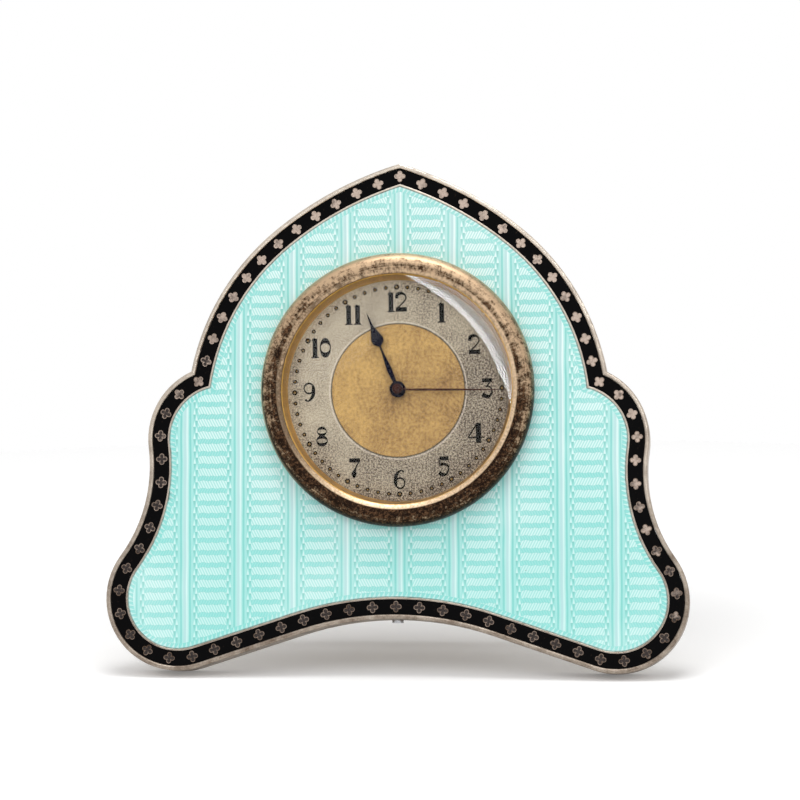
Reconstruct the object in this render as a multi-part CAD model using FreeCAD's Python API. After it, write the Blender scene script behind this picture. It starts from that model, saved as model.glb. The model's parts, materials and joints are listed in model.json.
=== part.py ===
import FreeCAD, Part
import math
import os

Vec = FreeCAD.Vector

# A small enamelled easel clock. The case is modelled upright, with its front facing -Y, the enamel's
# face at y = 0 and the underside of the two lobes at z = 0. At the end the whole clock leans back on
# its strut and is set down on the table, which is z = 0.

# Stance of the whole clock
lean_deg = 12.0
strut_open_deg = 22.0
land_depth = 0.12
overrun = 2.0

# Case outline: arcs that meet in tangents, with a point at the crown and a nick above each ear
lobe_x = 37.6
lobe_radius = 12.4
ear_x = 30.4
ear_z = 39.93
ear_radius = 12.75
ear_stand = 6.62
waist_radius = 25.8
flank_z = 43.8
flank_radius = 41.87
shoulder_deg = 50.7
crown_radius = 62.0
arch_top_z = 9.07
arch_radius = 51.4

# Case shell
rim_width = 0.8
rim_proud = 0.35
rim_round = 0.3
case_depth = 6.8
seat_gap = 0.02
front_thick = 1.3
enamel_thick = 0.35
band_width = 2.6
line_width = 0.28
line_proud = 0.03
back_thick = 0.8
back_inset = 0.1

# Four-lobed flowers in the border
flower_count = 74
petal_reach = 0.55
petal_radius = 0.42
flower_proud = 0.04

# The movement's size: its plate's radius sets the dial opening, the bezel and the train
plate_radius = 21.9
plate_thick = 1.4
dial_z = 48.3
fit_gap = 0.06

# Bezel, stepped from the movement's plate
sleeve_step = 0.6
sleeve_wall = 0.94
crystal_seat = 0.46
crest_step = 0.4
bezel_flank = 1.8
bezel_edge = 0.9
bezel_height = 3.4
lip_drop = 0.55
bezel_lip_thick = 0.5
bezel_swell_share = 0.8

# Crystal, inner gilt ring and dial
crystal_thick = 0.6
crystal_rise = 1.7
crystal_rim = 0.45
flange_step = 0.15
flange_slope = 0.7
dial_front = 0.6
dial_thick = 0.5
dial_foot_radius = 0.45
dial_foot_step = 3.05
dial_foot_deg = (25.0, 205.0)

# Hands: reach and half width at each corner, as shares of the dial's visible radius
hand_thick = 0.2
hour_hand_rise = 1.02
hour_hand_deg = 337.5
hour_hub_radius = 1.38
hour_hand_shares = (
    (0.063, 0.0157),
    (0.1995, 0.0241),
    (0.3832, 0.0079),
    (0.4252, 0.0089),
    (0.4593, 0.0488),
    (0.4987, 0.0562),
    (0.5512, 0.0378),
    (0.6247, 0.0115),
    (0.7349, 0.0042),
)
minute_hand_rise = 0.58
minute_hand_deg = 90.0
minute_hub_radius = 0.85
minute_hand_shares = ((0.0367, 0.0052), (0.1785, 0.0105), (0.6089, 0.0084), (0.9186, 0.0031))

# Motion work under the dial, each level a gap behind the one before
motion_thick = 0.35
hour_wheel_gap = 0.15
minute_wheel_gap = 0.45
cannon_lead = 0.1
plate_gap = 0.2

# Train levels between the plates, each a gap behind the one before
wheel_thick = 0.25
end_shake = 0.05
centre_wheel_gap = 0.2
great_gap = 0.2
great_thick = 0.6
fourth_wheel_gap = 0.55
escape_gap = 0.55
third_wheel_gap = 0.35
drum_length = 2.9
drum_wall = 0.4
second_wheel_gap = 0.25
bridge_clear = 0.65
pinion_extra = 0.3

# Movement plates and bridges
ring_wall = 1.5
bridge_thick = 1.2
bridge_step = 1.8
bridge_split_share = 0.1416
bridge_split_deg = 20.0
bridge_gap = 0.2
bridge_top_share = 0.2055
foot_radius = 1.4
foot_step = 1.5
barrel_foot_deg = (180.0, 295.0)
inner_foot_share = 0.6027
inner_foot_deg = 169.5
train_foot_deg = (340.0, 40.0, 75.0)
pivot_gap = 0.05
pivot_radius = 0.25
post_radius = 0.3

# Places of the movement's arbors, from the dial's centre: share of the plate's radius, and angle
barrel_reach_share = 0.484
barrel_deg = 240.0
third_deg = 20.0
fourth_turn_deg = 80.0
escape_turn_deg = 150.0
fork_turn_deg = 165.0
minute_wheel_deg = 60.0

# Gears: tooth module as a share of the plate's radius, and counts that give 12 to 1 in the motion work
great_module_share = 0.00913
great_teeth = 84
winding_pinion_teeth = 14
second_module_share = 0.00822
second_teeth = 60
centre_pinion_teeth = 12
centre_module_share = 0.00776
centre_teeth = 64
third_pinion_teeth = 8
third_module_share = 0.00685
third_teeth = 60
fourth_pinion_teeth = 8
fourth_module_share = 0.00594
fourth_teeth = 60
escape_pinion_teeth = 6
cannon_module_share = 0.00913
cannon_teeth = 12
minute_wheel_teeth = 36
minute_pinion_teeth = 10
hour_wheel_teeth = 40
addendum_share = 0.7
dedendum_share = 1.2
root_width_share = 0.54
tip_width_share = 0.2
wheel_web_share = 0.74
wheel_hub_share = 0.22
arm_count = 4
arm_width = 0.5

# Centre of the movement
set_arbor_radius = 0.32
centre_arbor_radius = 0.72
cannon_radius = 0.62
hour_tube_outer = 0.95
hour_tube_inner = 0.68

# Barrel parts
barrel_arbor_radius = 1.0
drum_share = 0.3653
spring_strip = 0.3
spring_turns = 6
spring_inner = 1.5
spring_outer_share = 0.3333
spring_steps = 16
ratchet_share = 0.1918
ratchet_root_share = 0.169
ratchet_teeth = 28
ratchet_thick = 0.7
click_reach_share = 0.1187
click_deg = 150.0
click_width = 1.3
click_nose_share = 0.25
click_gap = 0.06

# Escapement and balance
escape_share = 0.1187
escape_root_share = 0.0913
escape_teeth = 15
fork_reach_share = 0.1379
fork_thick = 0.3
fork_width = 0.55
fork_slot_depth = 0.48
pallet_gap = 0.3
pallet_width = 0.5
pallet_strip_radius = 0.75
pallet_strip_reach = 2.8
pallet_strip_thick = 0.6
pallet_hole_depth = 0.4
balance_reach_share = 0.2032
balance_share = 0.2009
balance_rim_width = 0.7
balance_gap = 1.0
balance_thick = 0.55
roller_pin_share = 0.0411
roller_pin_radius = 0.12
slot_gap = 0.05
hairspring_gap = 0.4
hairspring_strip = 0.08
hairspring_depth = 0.2
hairspring_turns = 7
hairspring_inner = 0.75
hairspring_outer_share = 0.1507
cock_width = 3.6
cock_foot_deg = 128.0
regulator_outer = 1.3
regulator_inner = 0.75
regulator_thick = 0.3
regulator_width = 0.6
regulator_reach_share = 0.2283
regulator_swing_deg = 20.0
regulator_deg = 110.0
regulator_pin_radius = 0.3

# Back cover of the movement
cover_step = 0.95
cover_wall = 0.5
cover_gap = 1.75
cover_hole_gap = 0.35
cover_round = 0.4

# Clamps that hold the movement in its ring
clamp_count = 3
clamp_first_deg = 90.0
clamp_thick = 0.5
clamp_width = 2.6
clamp_clear = 0.35
clamp_back_off = 0.2
screw_radius = 0.5
screw_head_radius = 0.8
screw_head_thick = 0.4
slot_width = 0.25
slot_depth = 0.2

# Knob and folding key at the back
knob_gap = 0.4
knob_thick = 2.0
knob_radius = 3.1
knob_flutes = 28
knob_flute_radius = 0.2
key_hub_radius = 1.5
key_hub_length = 2.4
key_seat_depth = 0.8
key_pin_depth = 1.6
key_pin_radius = 0.35
key_loop_reach = 6.2
key_loop_wire = 1.0
key_side_gap = 0.15

# Strut and hinge
hinge_clear = 1.0
hinge_lift = 1.5
knuckle_radius = 0.9
pin_radius = 0.45
leaf_thick = 0.6
leaf_half_width = 9.0
leaf_below = 2.6
leaf_above = 1.6
mid_knuckle_half = 4.0
knuckle_gap = 0.15
strut_thick = 1.0
strut_ring_gap = 1.05
strut_bar = 3.0
strut_foot_x = 35.0
strut_brace_z = 22.0
neck_half_width = 7.0
heel_gap = 0.03
rivet_radius = 0.5
rivet_head_radius = 0.675
rivet_foot_radius = 0.85
rivet_head_thick = 0.35
rivet_x = 6.5
rivet_drop = 1.75

# Screw through the rim at the arch, its block, and ledges behind the back plate
block_half_width = 3.0
block_height = 3.2
block_thick = 3.6
rim_screw_radius = 0.6
rim_screw_head = 1.0
rim_screw_head_thick = 0.55
rim_screw_depth = 1.6
ledge_length = 5.0
ledge_depth = 1.2
ledge_width = 1.2

# Radii that follow the movement's plate
sleeve_outer = plate_radius - sleeve_step
bore_radius = sleeve_outer - sleeve_wall
bezel_lip_radius = bore_radius - crystal_seat
bezel_crest_radius = sleeve_outer + crest_step
bezel_outer = bezel_crest_radius + bezel_flank
bezel_lip_height = bezel_height - lip_drop
flange_top_radius = bezel_lip_radius - flange_step
sight_radius = flange_top_radius - flange_slope
dial_foot_reach = sight_radius - dial_foot_step
ring_outer = plate_radius + ring_wall
bridge_radius = plate_radius - bridge_step
foot_reach = bridge_radius - foot_step
inner_foot_reach = plate_radius * inner_foot_share
cover_outer = plate_radius - cover_step
clamp_inner = cover_outer + clamp_clear
clamp_outer = ring_outer - clamp_back_off
strut_ring_inner = cover_outer + strut_ring_gap
hinge_z = dial_z + strut_ring_inner + strut_bar + knuckle_radius + hinge_clear
great_module = plate_radius * great_module_share
second_module = plate_radius * second_module_share
centre_module = plate_radius * centre_module_share
third_module = plate_radius * third_module_share
fourth_module = plate_radius * fourth_module_share
cannon_module = plate_radius * cannon_module_share
drum_radius = plate_radius * drum_share
spring_outer = plate_radius * spring_outer_share
ratchet_radius = plate_radius * ratchet_share
ratchet_root = plate_radius * ratchet_root_share
click_reach = plate_radius * click_reach_share
escape_radius = plate_radius * escape_share
escape_root = plate_radius * escape_root_share
fork_reach = plate_radius * fork_reach_share
balance_reach = plate_radius * balance_reach_share
balance_radius = plate_radius * balance_share
roller_pin_reach = plate_radius * roller_pin_share
hairspring_outer = plate_radius * hairspring_outer_share
regulator_reach = plate_radius * regulator_reach_share

# Levels along Y that follow from the gaps
hour_hand_front = dial_front - hour_hand_rise
minute_hand_front = hour_hand_front - minute_hand_rise
hour_wheel_front = dial_front + dial_thick + hour_wheel_gap
minute_wheel_front = hour_wheel_front + motion_thick + minute_wheel_gap
cannon_front = minute_wheel_front - cannon_lead
plate_front = minute_wheel_front + motion_thick + plate_gap
plate_back = plate_front + plate_thick
centre_wheel_front = plate_back + centre_wheel_gap
great_front = centre_wheel_front + wheel_thick + great_gap
fourth_wheel_front = great_front + great_thick + fourth_wheel_gap
escape_front = fourth_wheel_front + wheel_thick + escape_gap
third_wheel_front = escape_front + wheel_thick + third_wheel_gap
balance_front = escape_front + fork_thick + balance_gap
hairspring_front = balance_front + balance_thick + hairspring_gap
drum_back = great_front + great_thick + drum_length
second_wheel_front = drum_back + second_wheel_gap
bridge_front = second_wheel_front + wheel_thick + bridge_clear
bridge_back = bridge_front + bridge_thick
ratchet_front = bridge_back + end_shake
ratchet_back = ratchet_front + ratchet_thick
cover_back = ratchet_back + cover_gap
knob_front = cover_back + knob_gap
key_front = cover_back + knob_gap
key_axis_y = key_front + key_pin_depth


def polar(reach, degrees):
    angle = math.radians(degrees)
    return (reach * math.cos(angle), reach * math.sin(angle))


def plus(a, b):
    return (a[0] + b[0], a[1] + b[1])


def unit(a, b):
    length = math.dist(a, b)
    return ((b[0] - a[0]) / length, (b[1] - a[1]) / length)


def along(start, direction, length):
    return (start[0] + direction[0] * length, start[1] + direction[1] * length)


def circles_meet(a, radius_a, b, radius_b):
    # The crossing on the left of the way from a to b
    gap = math.dist(a, b)
    foot = (radius_a ** 2 - radius_b ** 2 + gap ** 2) / (2 * gap)
    height = math.sqrt(radius_a ** 2 - foot ** 2)
    way = unit(a, b)
    return along(along(a, way, foot), (-way[1], way[0]), height)


def flat(point, y=0.0):
    return Vec(point[0], y, point[1])


def line_edge(a, b):
    return Part.LineSegment(flat(a), flat(b)).toShape()


def arc_edge(a, b, centre, radius):
    # The shorter arc from a to b
    middle = ((a[0] + b[0]) / 2, (a[1] + b[1]) / 2)
    crest = along(centre, unit(centre, middle), radius)
    return Part.Arc(flat(a), flat(crest), flat(b)).toShape()


def mirrored(point):
    return (-point[0], point[1])


def case_outline(inset):
    # The closed outline, moved inwards by inset: each arc keeps its centre
    ear = (ear_x, ear_z)
    lobe = (lobe_x, lobe_radius)
    flank = (ear_x + ear_radius - ear_stand - flank_radius, flank_z)
    shoulder_way = polar(1.0, shoulder_deg)
    crown = along(flank, shoulder_way, flank_radius - crown_radius)
    waist = circles_meet(ear, ear_radius + waist_radius, lobe, lobe_radius + waist_radius)
    arch = (0.0, arch_top_z - arch_radius)
    arch_way = unit(lobe, arch)
    turn = math.acos((lobe_radius + arch_radius) / math.dist(lobe, arch))
    under_angle = math.atan2(arch_way[1], arch_way[0]) - turn
    if math.sin(under_angle) > math.sin(under_angle + 2 * turn):
        under_angle += 2 * turn
    under_way = (math.cos(under_angle), math.sin(under_angle))

    crown_size = crown_radius - inset
    apex = (0.0, crown[1] + math.sqrt(crown_size ** 2 - crown[0] ** 2))
    shoulder = along(flank, shoulder_way, flank_radius - inset)
    nick = circles_meet(ear, ear_radius - inset, flank, flank_radius - inset)
    if nick[1] < ear_z:
        nick = circles_meet(flank, flank_radius - inset, ear, ear_radius - inset)
    ear_end = along(ear, unit(ear, waist), ear_radius - inset)
    lobe_start = along(lobe, unit(lobe, waist), lobe_radius - inset)
    lobe_end = along(lobe, under_way, lobe_radius - inset)
    arch_start = along(arch, under_way, -arch_radius - inset)

    right = [
        (apex, shoulder, crown, crown_size),
        (shoulder, nick, flank, flank_radius - inset),
        (nick, ear_end, ear, ear_radius - inset),
        (ear_end, lobe_start, waist, waist_radius + inset),
        (lobe_start, lobe_end, lobe, lobe_radius - inset),
        (lobe_end, arch_start, None, 0.0),
    ]
    left = []
    for a, b, centre, radius in reversed(right):
        left.append((mirrored(b), mirrored(a), centre and mirrored(centre), radius))
    runs = right + [(arch_start, mirrored(arch_start), arch, arch_radius + inset)] + left
    edges = []
    for a, b, centre, radius in runs:
        edges.append(arc_edge(a, b, centre, radius) if centre else line_edge(a, b))
    return Part.Wire(edges)


def ring_wire(radius, place):
    return Part.Wire([Part.Circle(flat(place), Vec(0, 1, 0), radius).toShape()])


def sheet(wires, front, back):
    # A flat piece between two levels: the first wire bounds it and the rest are holes
    face = Part.makeFace(wires, "Part::FaceMakerBullseye").Faces[0]
    face.translate(Vec(0, front, 0))
    return face.extrude(Vec(0, back - front, 0))


def polygon(points):
    corners = [flat(point) for point in points]
    return Part.makePolygon(corners + corners[:1])


def bar_outline(start, end, width):
    # A straight bar of that width from start to end
    way = unit(start, end)
    half = (-way[1] * width / 2, way[0] * width / 2)
    other = (-half[0], -half[1])
    return polygon([plus(start, half), plus(end, half), plus(end, other), plus(start, other)])


def disc(radius, front, back, place):
    return Part.makeCylinder(radius, back - front, flat(place, front), Vec(0, 1, 0))


def tube(outer, inner, front, back, place):
    return disc(outer, front, back, place).cut(disc(inner, front - overrun, back + overrun, place))


def box(x_low, x_high, y_low, y_high, z_low, z_high):
    size = (x_high - x_low, y_high - y_low, z_high - z_low)
    return Part.makeBox(size[0], size[1], size[2], Vec(x_low, y_low, z_low))


def lathe(profile, place):
    # Turns a closed profile about the axis through place. Each corner is (radius, y); a run of three
    # corners in a tuple is an arc through them
    edges = []
    last = profile[-1] if not isinstance(profile[-1][0], tuple) else profile[-1][-1]
    for step in profile:
        if isinstance(step[0], tuple):
            middle, end = step
            ends = [Vec(p[0], p[1], 0) for p in (last, middle, end)]
            edges.append(Part.Arc(ends[0], ends[1], ends[2]).toShape())
            last = end
        else:
            edges.append(Part.LineSegment(Vec(last[0], last[1], 0), Vec(step[0], step[1], 0)).toShape())
            last = step
    face = Part.Face(Part.Wire(edges))
    solid = face.revolve(Vec(0, 0, 0), Vec(0, 1, 0), 360)
    solid.translate(flat(place))
    return solid


def fuse(shapes):
    whole = shapes[0].multiFuse(shapes[1:])
    return whole.removeSplitter()


def group(shapes):
    return Part.makeCompound(shapes)


# Places in the case
dial = (0.0, dial_z)
barrel = plus(dial, polar(plate_radius * barrel_reach_share, barrel_deg))
barrel_to_second = great_module * (great_teeth + winding_pinion_teeth) / 2
second_to_dial = second_module * (second_teeth + centre_pinion_teeth) / 2
second = circles_meet(barrel, barrel_to_second, dial, second_to_dial)
if second[0] < barrel[0]:
    second = circles_meet(dial, second_to_dial, barrel, barrel_to_second)
third_reach = centre_module * (centre_teeth + third_pinion_teeth) / 2
third = plus(dial, polar(third_reach, third_deg))
fourth_reach = third_module * (third_teeth + fourth_pinion_teeth) / 2
fourth = plus(third, polar(fourth_reach, fourth_turn_deg))
escape_reach = fourth_module * (fourth_teeth + escape_pinion_teeth) / 2
escape = plus(fourth, polar(escape_reach, escape_turn_deg))
fork = plus(escape, polar(fork_reach, fork_turn_deg))
balance = plus(fork, polar(balance_reach, fork_turn_deg))
minute_wheel_reach = cannon_module * (cannon_teeth + minute_wheel_teeth) / 2
minute_post = plus(dial, polar(minute_wheel_reach, minute_wheel_deg))
hour_module = 2 * minute_wheel_reach / (minute_pinion_teeth + hour_wheel_teeth)
back_back = case_depth - back_inset
back_front = back_back - back_thick
hinge_y = back_back + hinge_lift
rim_screw_y = back_front - block_thick / 2
click_place = plus(barrel, polar(ratchet_radius + click_reach, click_deg))


def gear_outline(teeth, module, place, phase_deg):
    # One tooth is centred on phase_deg. Flanks are straight
    pitch_radius = module * teeth / 2
    tip = pitch_radius + addendum_share * module
    root = pitch_radius - dedendum_share * module
    pitch = 360.0 / teeth
    points = []
    for tooth in range(teeth):
        middle = phase_deg + tooth * pitch
        for radius, half_share in (
            (root, -root_width_share / 2),
            (tip, -tip_width_share / 2),
            (tip, tip_width_share / 2),
            (root, root_width_share / 2),
        ):
            points.append(plus(place, polar(radius, middle + half_share * pitch)))
    return polygon(points)


def meshed_phase(driver_phase, driver_teeth, driven_teeth, line_deg):
    # Phase that puts a gap of the driven gear on a tooth of the driver, seen along the line of centres
    turned = (driver_phase - line_deg) * driver_teeth / driven_teeth
    return line_deg + 180.0 - turned + 180.0 / driven_teeth


def direction(a, b):
    return math.degrees(math.atan2(b[1] - a[1], b[0] - a[0]))


def toothed_wheel(teeth, module, place, phase_deg, front, bore):
    # A crossed-out wheel: toothed rim, arms and hub
    pitch_radius = module * teeth / 2
    web = pitch_radius * wheel_web_share
    hub = pitch_radius * wheel_hub_share
    back = front + wheel_thick
    rim = sheet([gear_outline(teeth, module, place, phase_deg), ring_wire(web, place)], front, back)
    parts = [rim, disc(max(hub, bore + arm_width), front, back, place)]
    for arm in range(arm_count // 2):
        bar = box(-web - module, web + module, front, back, -arm_width / 2, arm_width / 2)
        bar.rotate(Vec(0, 0, 0), Vec(0, 1, 0), arm * 360.0 / arm_count)
        bar.translate(flat(place))
        parts.append(bar)
    return fuse(parts)


def pinion(teeth, module, place, phase_deg, front, back):
    return sheet([gear_outline(teeth, module, place, phase_deg)], front, back)


def mobile(wheel, leaves, place, front, back):
    # Wheel and pinion on one arbor, with pivots that run in the plates
    arbor = disc(post_radius, front, back, place)
    pivots = disc(pivot_radius, front - plate_thick / 2, back + bridge_thick / 2, place)
    return fuse([wheel, leaves, arbor, pivots])


train_front = plate_back + end_shake
train_back = bridge_front - end_shake


def pivot_holes(places):
    # Blind bearings in the main plate and the bridges
    depth = plate_thick / 2 + pivot_gap
    holes = []
    for place in places:
        front = train_front - depth
        back = train_back + depth
        holes.append(disc(pivot_radius + pivot_gap, front, back, place))
    return holes


# Case shell

def make_case_rim():
    rim = sheet([case_outline(0.0), case_outline(rim_width)], -rim_proud, case_depth)
    front_edges = []
    for edge in rim.Edges:
        box_of_edge = edge.BoundBox
        if box_of_edge.YMax < -rim_proud + rim_round:
            front_edges.append(edge)
    rim = rim.makeFillet(rim_round, front_edges)
    hole_place = (0.0, arch_top_z)
    hole = Part.makeCylinder(rim_screw_radius + pivot_gap, rim_width + 2 * overrun,
                             flat(hole_place, rim_screw_y) - Vec(0, 0, overrun), Vec(0, 0, 1))
    return rim.cut(hole)


def make_front_plate():
    inset = rim_width + seat_gap
    hole = ring_wire(sleeve_outer + fit_gap, dial)
    base = sheet([case_outline(inset), hole], enamel_thick, front_thick)
    line_outer = rim_width + band_width
    line = sheet([case_outline(line_outer), case_outline(line_outer + line_width)],
                 -line_proud, front_thick)
    return fuse([base, line])


def flower_wire(place, degrees, growth):
    radius = petal_radius + growth
    corner = (petal_reach + math.sqrt(2 * radius ** 2 - petal_reach ** 2)) / 2
    edges = []
    for quarter in range(4):
        turn = degrees + quarter * 90.0
        tip_reach = petal_reach + radius
        corner_reach = corner * math.sqrt(2)
        points = [polar(corner_reach, turn - 45.0), polar(tip_reach, turn), polar(corner_reach, turn + 45.0)]
        vectors = [flat(plus(place, point)) for point in points]
        edges.append(Part.Arc(vectors[0], vectors[1], vectors[2]).toShape())
    return Part.Wire(edges)


def flower_places():
    path = case_outline(rim_width + band_width / 2)
    points = path.discretize(Number=flower_count + 1)[:-1]
    places = []
    for index, point in enumerate(points):
        after = points[(index + 1) % len(points)]
        before = points[index - 1]
        places.append(((point.x, point.z), direction((before.x, before.z), (after.x, after.z))))
    return places


def make_border_enamel():
    outer = case_outline(rim_width + seat_gap)
    inner = case_outline(rim_width + band_width - seat_gap)
    holes = [flower_wire(place, degrees, seat_gap) for place, degrees in flower_places()]
    return sheet([outer, inner] + holes, 0.0, enamel_thick)


def make_border_flowers():
    flowers = []
    for place, degrees in flower_places():
        flowers.append(sheet([flower_wire(place, degrees, 0.0)], -flower_proud, enamel_thick))
    return group(flowers)


def make_enamel_panel():
    inset = rim_width + band_width + line_width + seat_gap
    hole = ring_wire(sleeve_outer + fit_gap, dial)
    return sheet([case_outline(inset), hole], 0.0, enamel_thick)


def rivet_places():
    return [(side * rivet_x, hinge_z - rivet_drop) for side in (-1, 1)]


def make_back_plate():
    inset = rim_width + seat_gap
    plate = sheet([case_outline(inset), ring_wire(cover_outer + fit_gap, dial)], back_front, back_back)
    holes = [disc(rivet_radius, back_front - overrun, back_back + overrun, place) for place in rivet_places()]
    return plate.cut(group(holes))


def make_screw_block():
    # Stands on the back plate inside the arch and takes the rim's screw
    inset = rim_width + seat_gap
    low = arch_top_z + inset
    block = box(-block_half_width, block_half_width, back_front - block_thick, back_front,
                low - overrun, low + block_height)
    block = block.common(sheet([case_outline(inset)], front_thick, case_depth))
    hole = Part.makeCylinder(rim_screw_radius, block_height + 2 * overrun, Vec(0, rim_screw_y, low - overrun),
                             Vec(0, 0, 1))
    return block.cut(hole)


def make_rim_screw():
    # The head seats under the arch, whose curve dips a little at the head's sides
    shank_top = arch_top_z + rim_width + rim_screw_depth
    seat = arch_top_z - rim_screw_head ** 2 / arch_radius
    head_low = seat - rim_screw_head_thick
    shank = Part.makeCylinder(rim_screw_radius - seat_gap, shank_top - seat, Vec(0, rim_screw_y, seat),
                              Vec(0, 0, 1))
    head = Part.makeCylinder(rim_screw_head, rim_screw_head_thick, Vec(0, rim_screw_y, head_low),
                             Vec(0, 0, 1))
    slot = box(-rim_screw_head, rim_screw_head, rim_screw_y - slot_width / 2, rim_screw_y + slot_width / 2,
               head_low - overrun, head_low + slot_depth)
    return fuse([shank, head]).cut(slot)


def make_back_ledges():
    # Small ledges soldered inside the rim, which the back plate lies on
    ledges = []
    ring = sheet([case_outline(rim_width + seat_gap), case_outline(rim_width + seat_gap + ledge_width)],
                 back_front - ledge_depth, back_front)
    apex_z = ring.BoundBox.ZMax
    for x, z in ((0.0, apex_z), (-ear_x - ear_radius, ear_z), (ear_x + ear_radius, ear_z)):
        cutter = box(x - ledge_length, x + ledge_length, 0.0, case_depth, z - ledge_length, z + ledge_length)
        ledges.append(ring.common(cutter))
    return group(ledges)


# Bezel, crystal and dial

def cap_height(radius, chord, rise):
    # Height above its rim of a spherical cap at a distance from its axis
    sphere = (chord ** 2 + rise ** 2) / (2 * rise)
    return math.sqrt(sphere ** 2 - radius ** 2) - (sphere - rise)


def make_bezel():
    outer_mid = (bezel_outer - (bezel_outer - bezel_crest_radius) * (1 - math.sqrt(0.5)),
                 -bezel_edge - (bezel_height - bezel_edge) * math.sqrt(0.5))
    crest = (bezel_crest_radius, -bezel_height)
    inner_mid = ((bezel_crest_radius + bezel_lip_radius) / 2,
                 -bezel_lip_height - lip_drop * bezel_swell_share)
    lip = (bezel_lip_radius, -bezel_lip_height)
    lip_back = -bezel_lip_height + bezel_lip_thick
    profile = [
        (bezel_lip_radius, lip_back),
        (bore_radius, lip_back),
        (bore_radius, plate_front),
        (sleeve_outer, plate_front),
        (sleeve_outer, -seat_gap),
        (bezel_outer, -seat_gap),
        (bezel_outer, -bezel_edge),
        (outer_mid, crest),
        (inner_mid, lip),
    ]
    return lathe(profile, dial)


crystal_front = -bezel_lip_height + bezel_lip_thick + seat_gap
crystal_back = crystal_front + crystal_rim


def make_crystal():
    outer_chord = bezel_lip_radius - fit_gap
    inner_chord = outer_chord - crystal_thick
    outer_top = crystal_front - crystal_rise
    half = outer_chord / 2
    inner_half = inner_chord / 2
    profile = [
        (0.0, outer_top),
        ((half, crystal_front - cap_height(half, outer_chord, crystal_rise)), (outer_chord, crystal_front)),
        (bore_radius - fit_gap, crystal_front),
        (bore_radius - fit_gap, crystal_back),
        (inner_chord, crystal_back),
        ((inner_half, crystal_back - cap_height(inner_half, inner_chord, crystal_rise)),
         (0.0, crystal_back - crystal_rise)),
    ]
    return lathe(profile, dial)


def make_dial_flange():
    front = crystal_back + seat_gap
    back = dial_front - seat_gap
    outer = bore_radius - fit_gap
    profile = [(outer, front), (outer, back), (sight_radius, back), (flange_top_radius, front)]
    return lathe(profile, dial)


def make_dial():
    plate = disc(bore_radius - fit_gap, dial_front, dial_front + dial_thick, dial)
    plate = plate.cut(disc(hour_tube_outer + fit_gap, -overrun, plate_front, dial))
    feet = []
    for degrees in dial_foot_deg:
        place = plus(dial, polar(dial_foot_reach, degrees))
        feet.append(disc(dial_foot_radius, dial_front + dial_thick / 2, plate_front + plate_thick / 2, place))
    return fuse([plate] + feet)


# Hands and motion work

def hand_wire(shares):
    side = [(reach * sight_radius, half * sight_radius) for reach, half in shares]
    points = [(0.0, 0.0)] + [(-half, reach) for reach, half in side]
    points += [(half, reach) for reach, half in reversed(side)]
    return polygon(points)


def turned(shape, degrees, place):
    # Clock-wise as seen from the front, where 12 is up
    shape.rotate(Vec(0, 0, 0), Vec(0, 1, 0), degrees)
    shape.translate(flat(place))
    return shape


def make_hour_hand():
    back = hour_hand_front + hand_thick
    blade = sheet([hand_wire(hour_hand_shares)], hour_hand_front, back)
    hub = disc(hour_hub_radius, hour_hand_front, back, (0.0, 0.0))
    bore = disc(hour_tube_outer, hour_hand_front - overrun, back + overrun, (0.0, 0.0))
    return turned(fuse([blade, hub]).cut(bore), hour_hand_deg, dial)


def make_minute_hand():
    back = minute_hand_front + hand_thick
    blade = sheet([hand_wire(minute_hand_shares)], minute_hand_front, back)
    hub = disc(minute_hub_radius, minute_hand_front - hand_thick / 2, back, (0.0, 0.0))
    bore = disc(set_arbor_radius + seat_gap, minute_hand_front - overrun, back + overrun, (0.0, 0.0))
    return turned(fuse([blade, hub]).cut(bore), minute_hand_deg, dial)


cannon_phase = 0.0
minute_wheel_phase = meshed_phase(cannon_phase, cannon_teeth, minute_wheel_teeth,
                                  direction(dial, minute_post))
hour_wheel_phase = meshed_phase(minute_wheel_phase, minute_pinion_teeth, hour_wheel_teeth,
                                direction(minute_post, dial))


def make_cannon_pinion():
    leaves = pinion(cannon_teeth, cannon_module, dial, cannon_phase, cannon_front, plate_front - end_shake)
    front = minute_hand_front + hand_thick + seat_gap
    pipe = disc(cannon_radius, front, plate_front - end_shake, dial)
    bore = disc(set_arbor_radius + seat_gap, front - overrun, plate_front + overrun, dial)
    return fuse([leaves, pipe]).cut(bore)


def make_minute_wheel():
    wheel = sheet([gear_outline(minute_wheel_teeth, cannon_module, minute_post, minute_wheel_phase)],
                  minute_wheel_front, minute_wheel_front + motion_thick)
    leaves = pinion(minute_pinion_teeth, hour_module, minute_post, minute_wheel_phase,
                    hour_wheel_front, minute_wheel_front)
    bore = disc(post_radius + pivot_gap, 0.0, plate_front, minute_post)
    return fuse([wheel, leaves]).cut(bore)


def make_hour_wheel():
    wheel = sheet([gear_outline(hour_wheel_teeth, hour_module, dial, hour_wheel_phase)],
                  hour_wheel_front, hour_wheel_front + motion_thick)
    pipe = disc(hour_tube_outer - seat_gap, hour_hand_front - seat_gap, hour_wheel_front + motion_thick, dial)
    bore = disc(hour_tube_inner, hour_hand_front - overrun, plate_front, dial)
    return fuse([wheel, pipe]).cut(bore)


def make_set_arbor():
    return disc(set_arbor_radius, minute_hand_front - hand_thick, knob_front + knob_thick / 2, dial)


def make_set_knob():
    knob = disc(knob_radius, knob_front, knob_front + knob_thick, dial)
    flutes = []
    for flute in range(knob_flutes):
        place = plus(dial, polar(knob_radius, flute * 360.0 / knob_flutes))
        flutes.append(disc(knob_flute_radius, knob_front - overrun, knob_front + knob_thick + overrun, place))
    bore = disc(set_arbor_radius + seat_gap, knob_front - overrun, knob_front + knob_thick / 2 + seat_gap,
                dial)
    return knob.cut(group(flutes)).cut(bore)


# Movement plates

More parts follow.
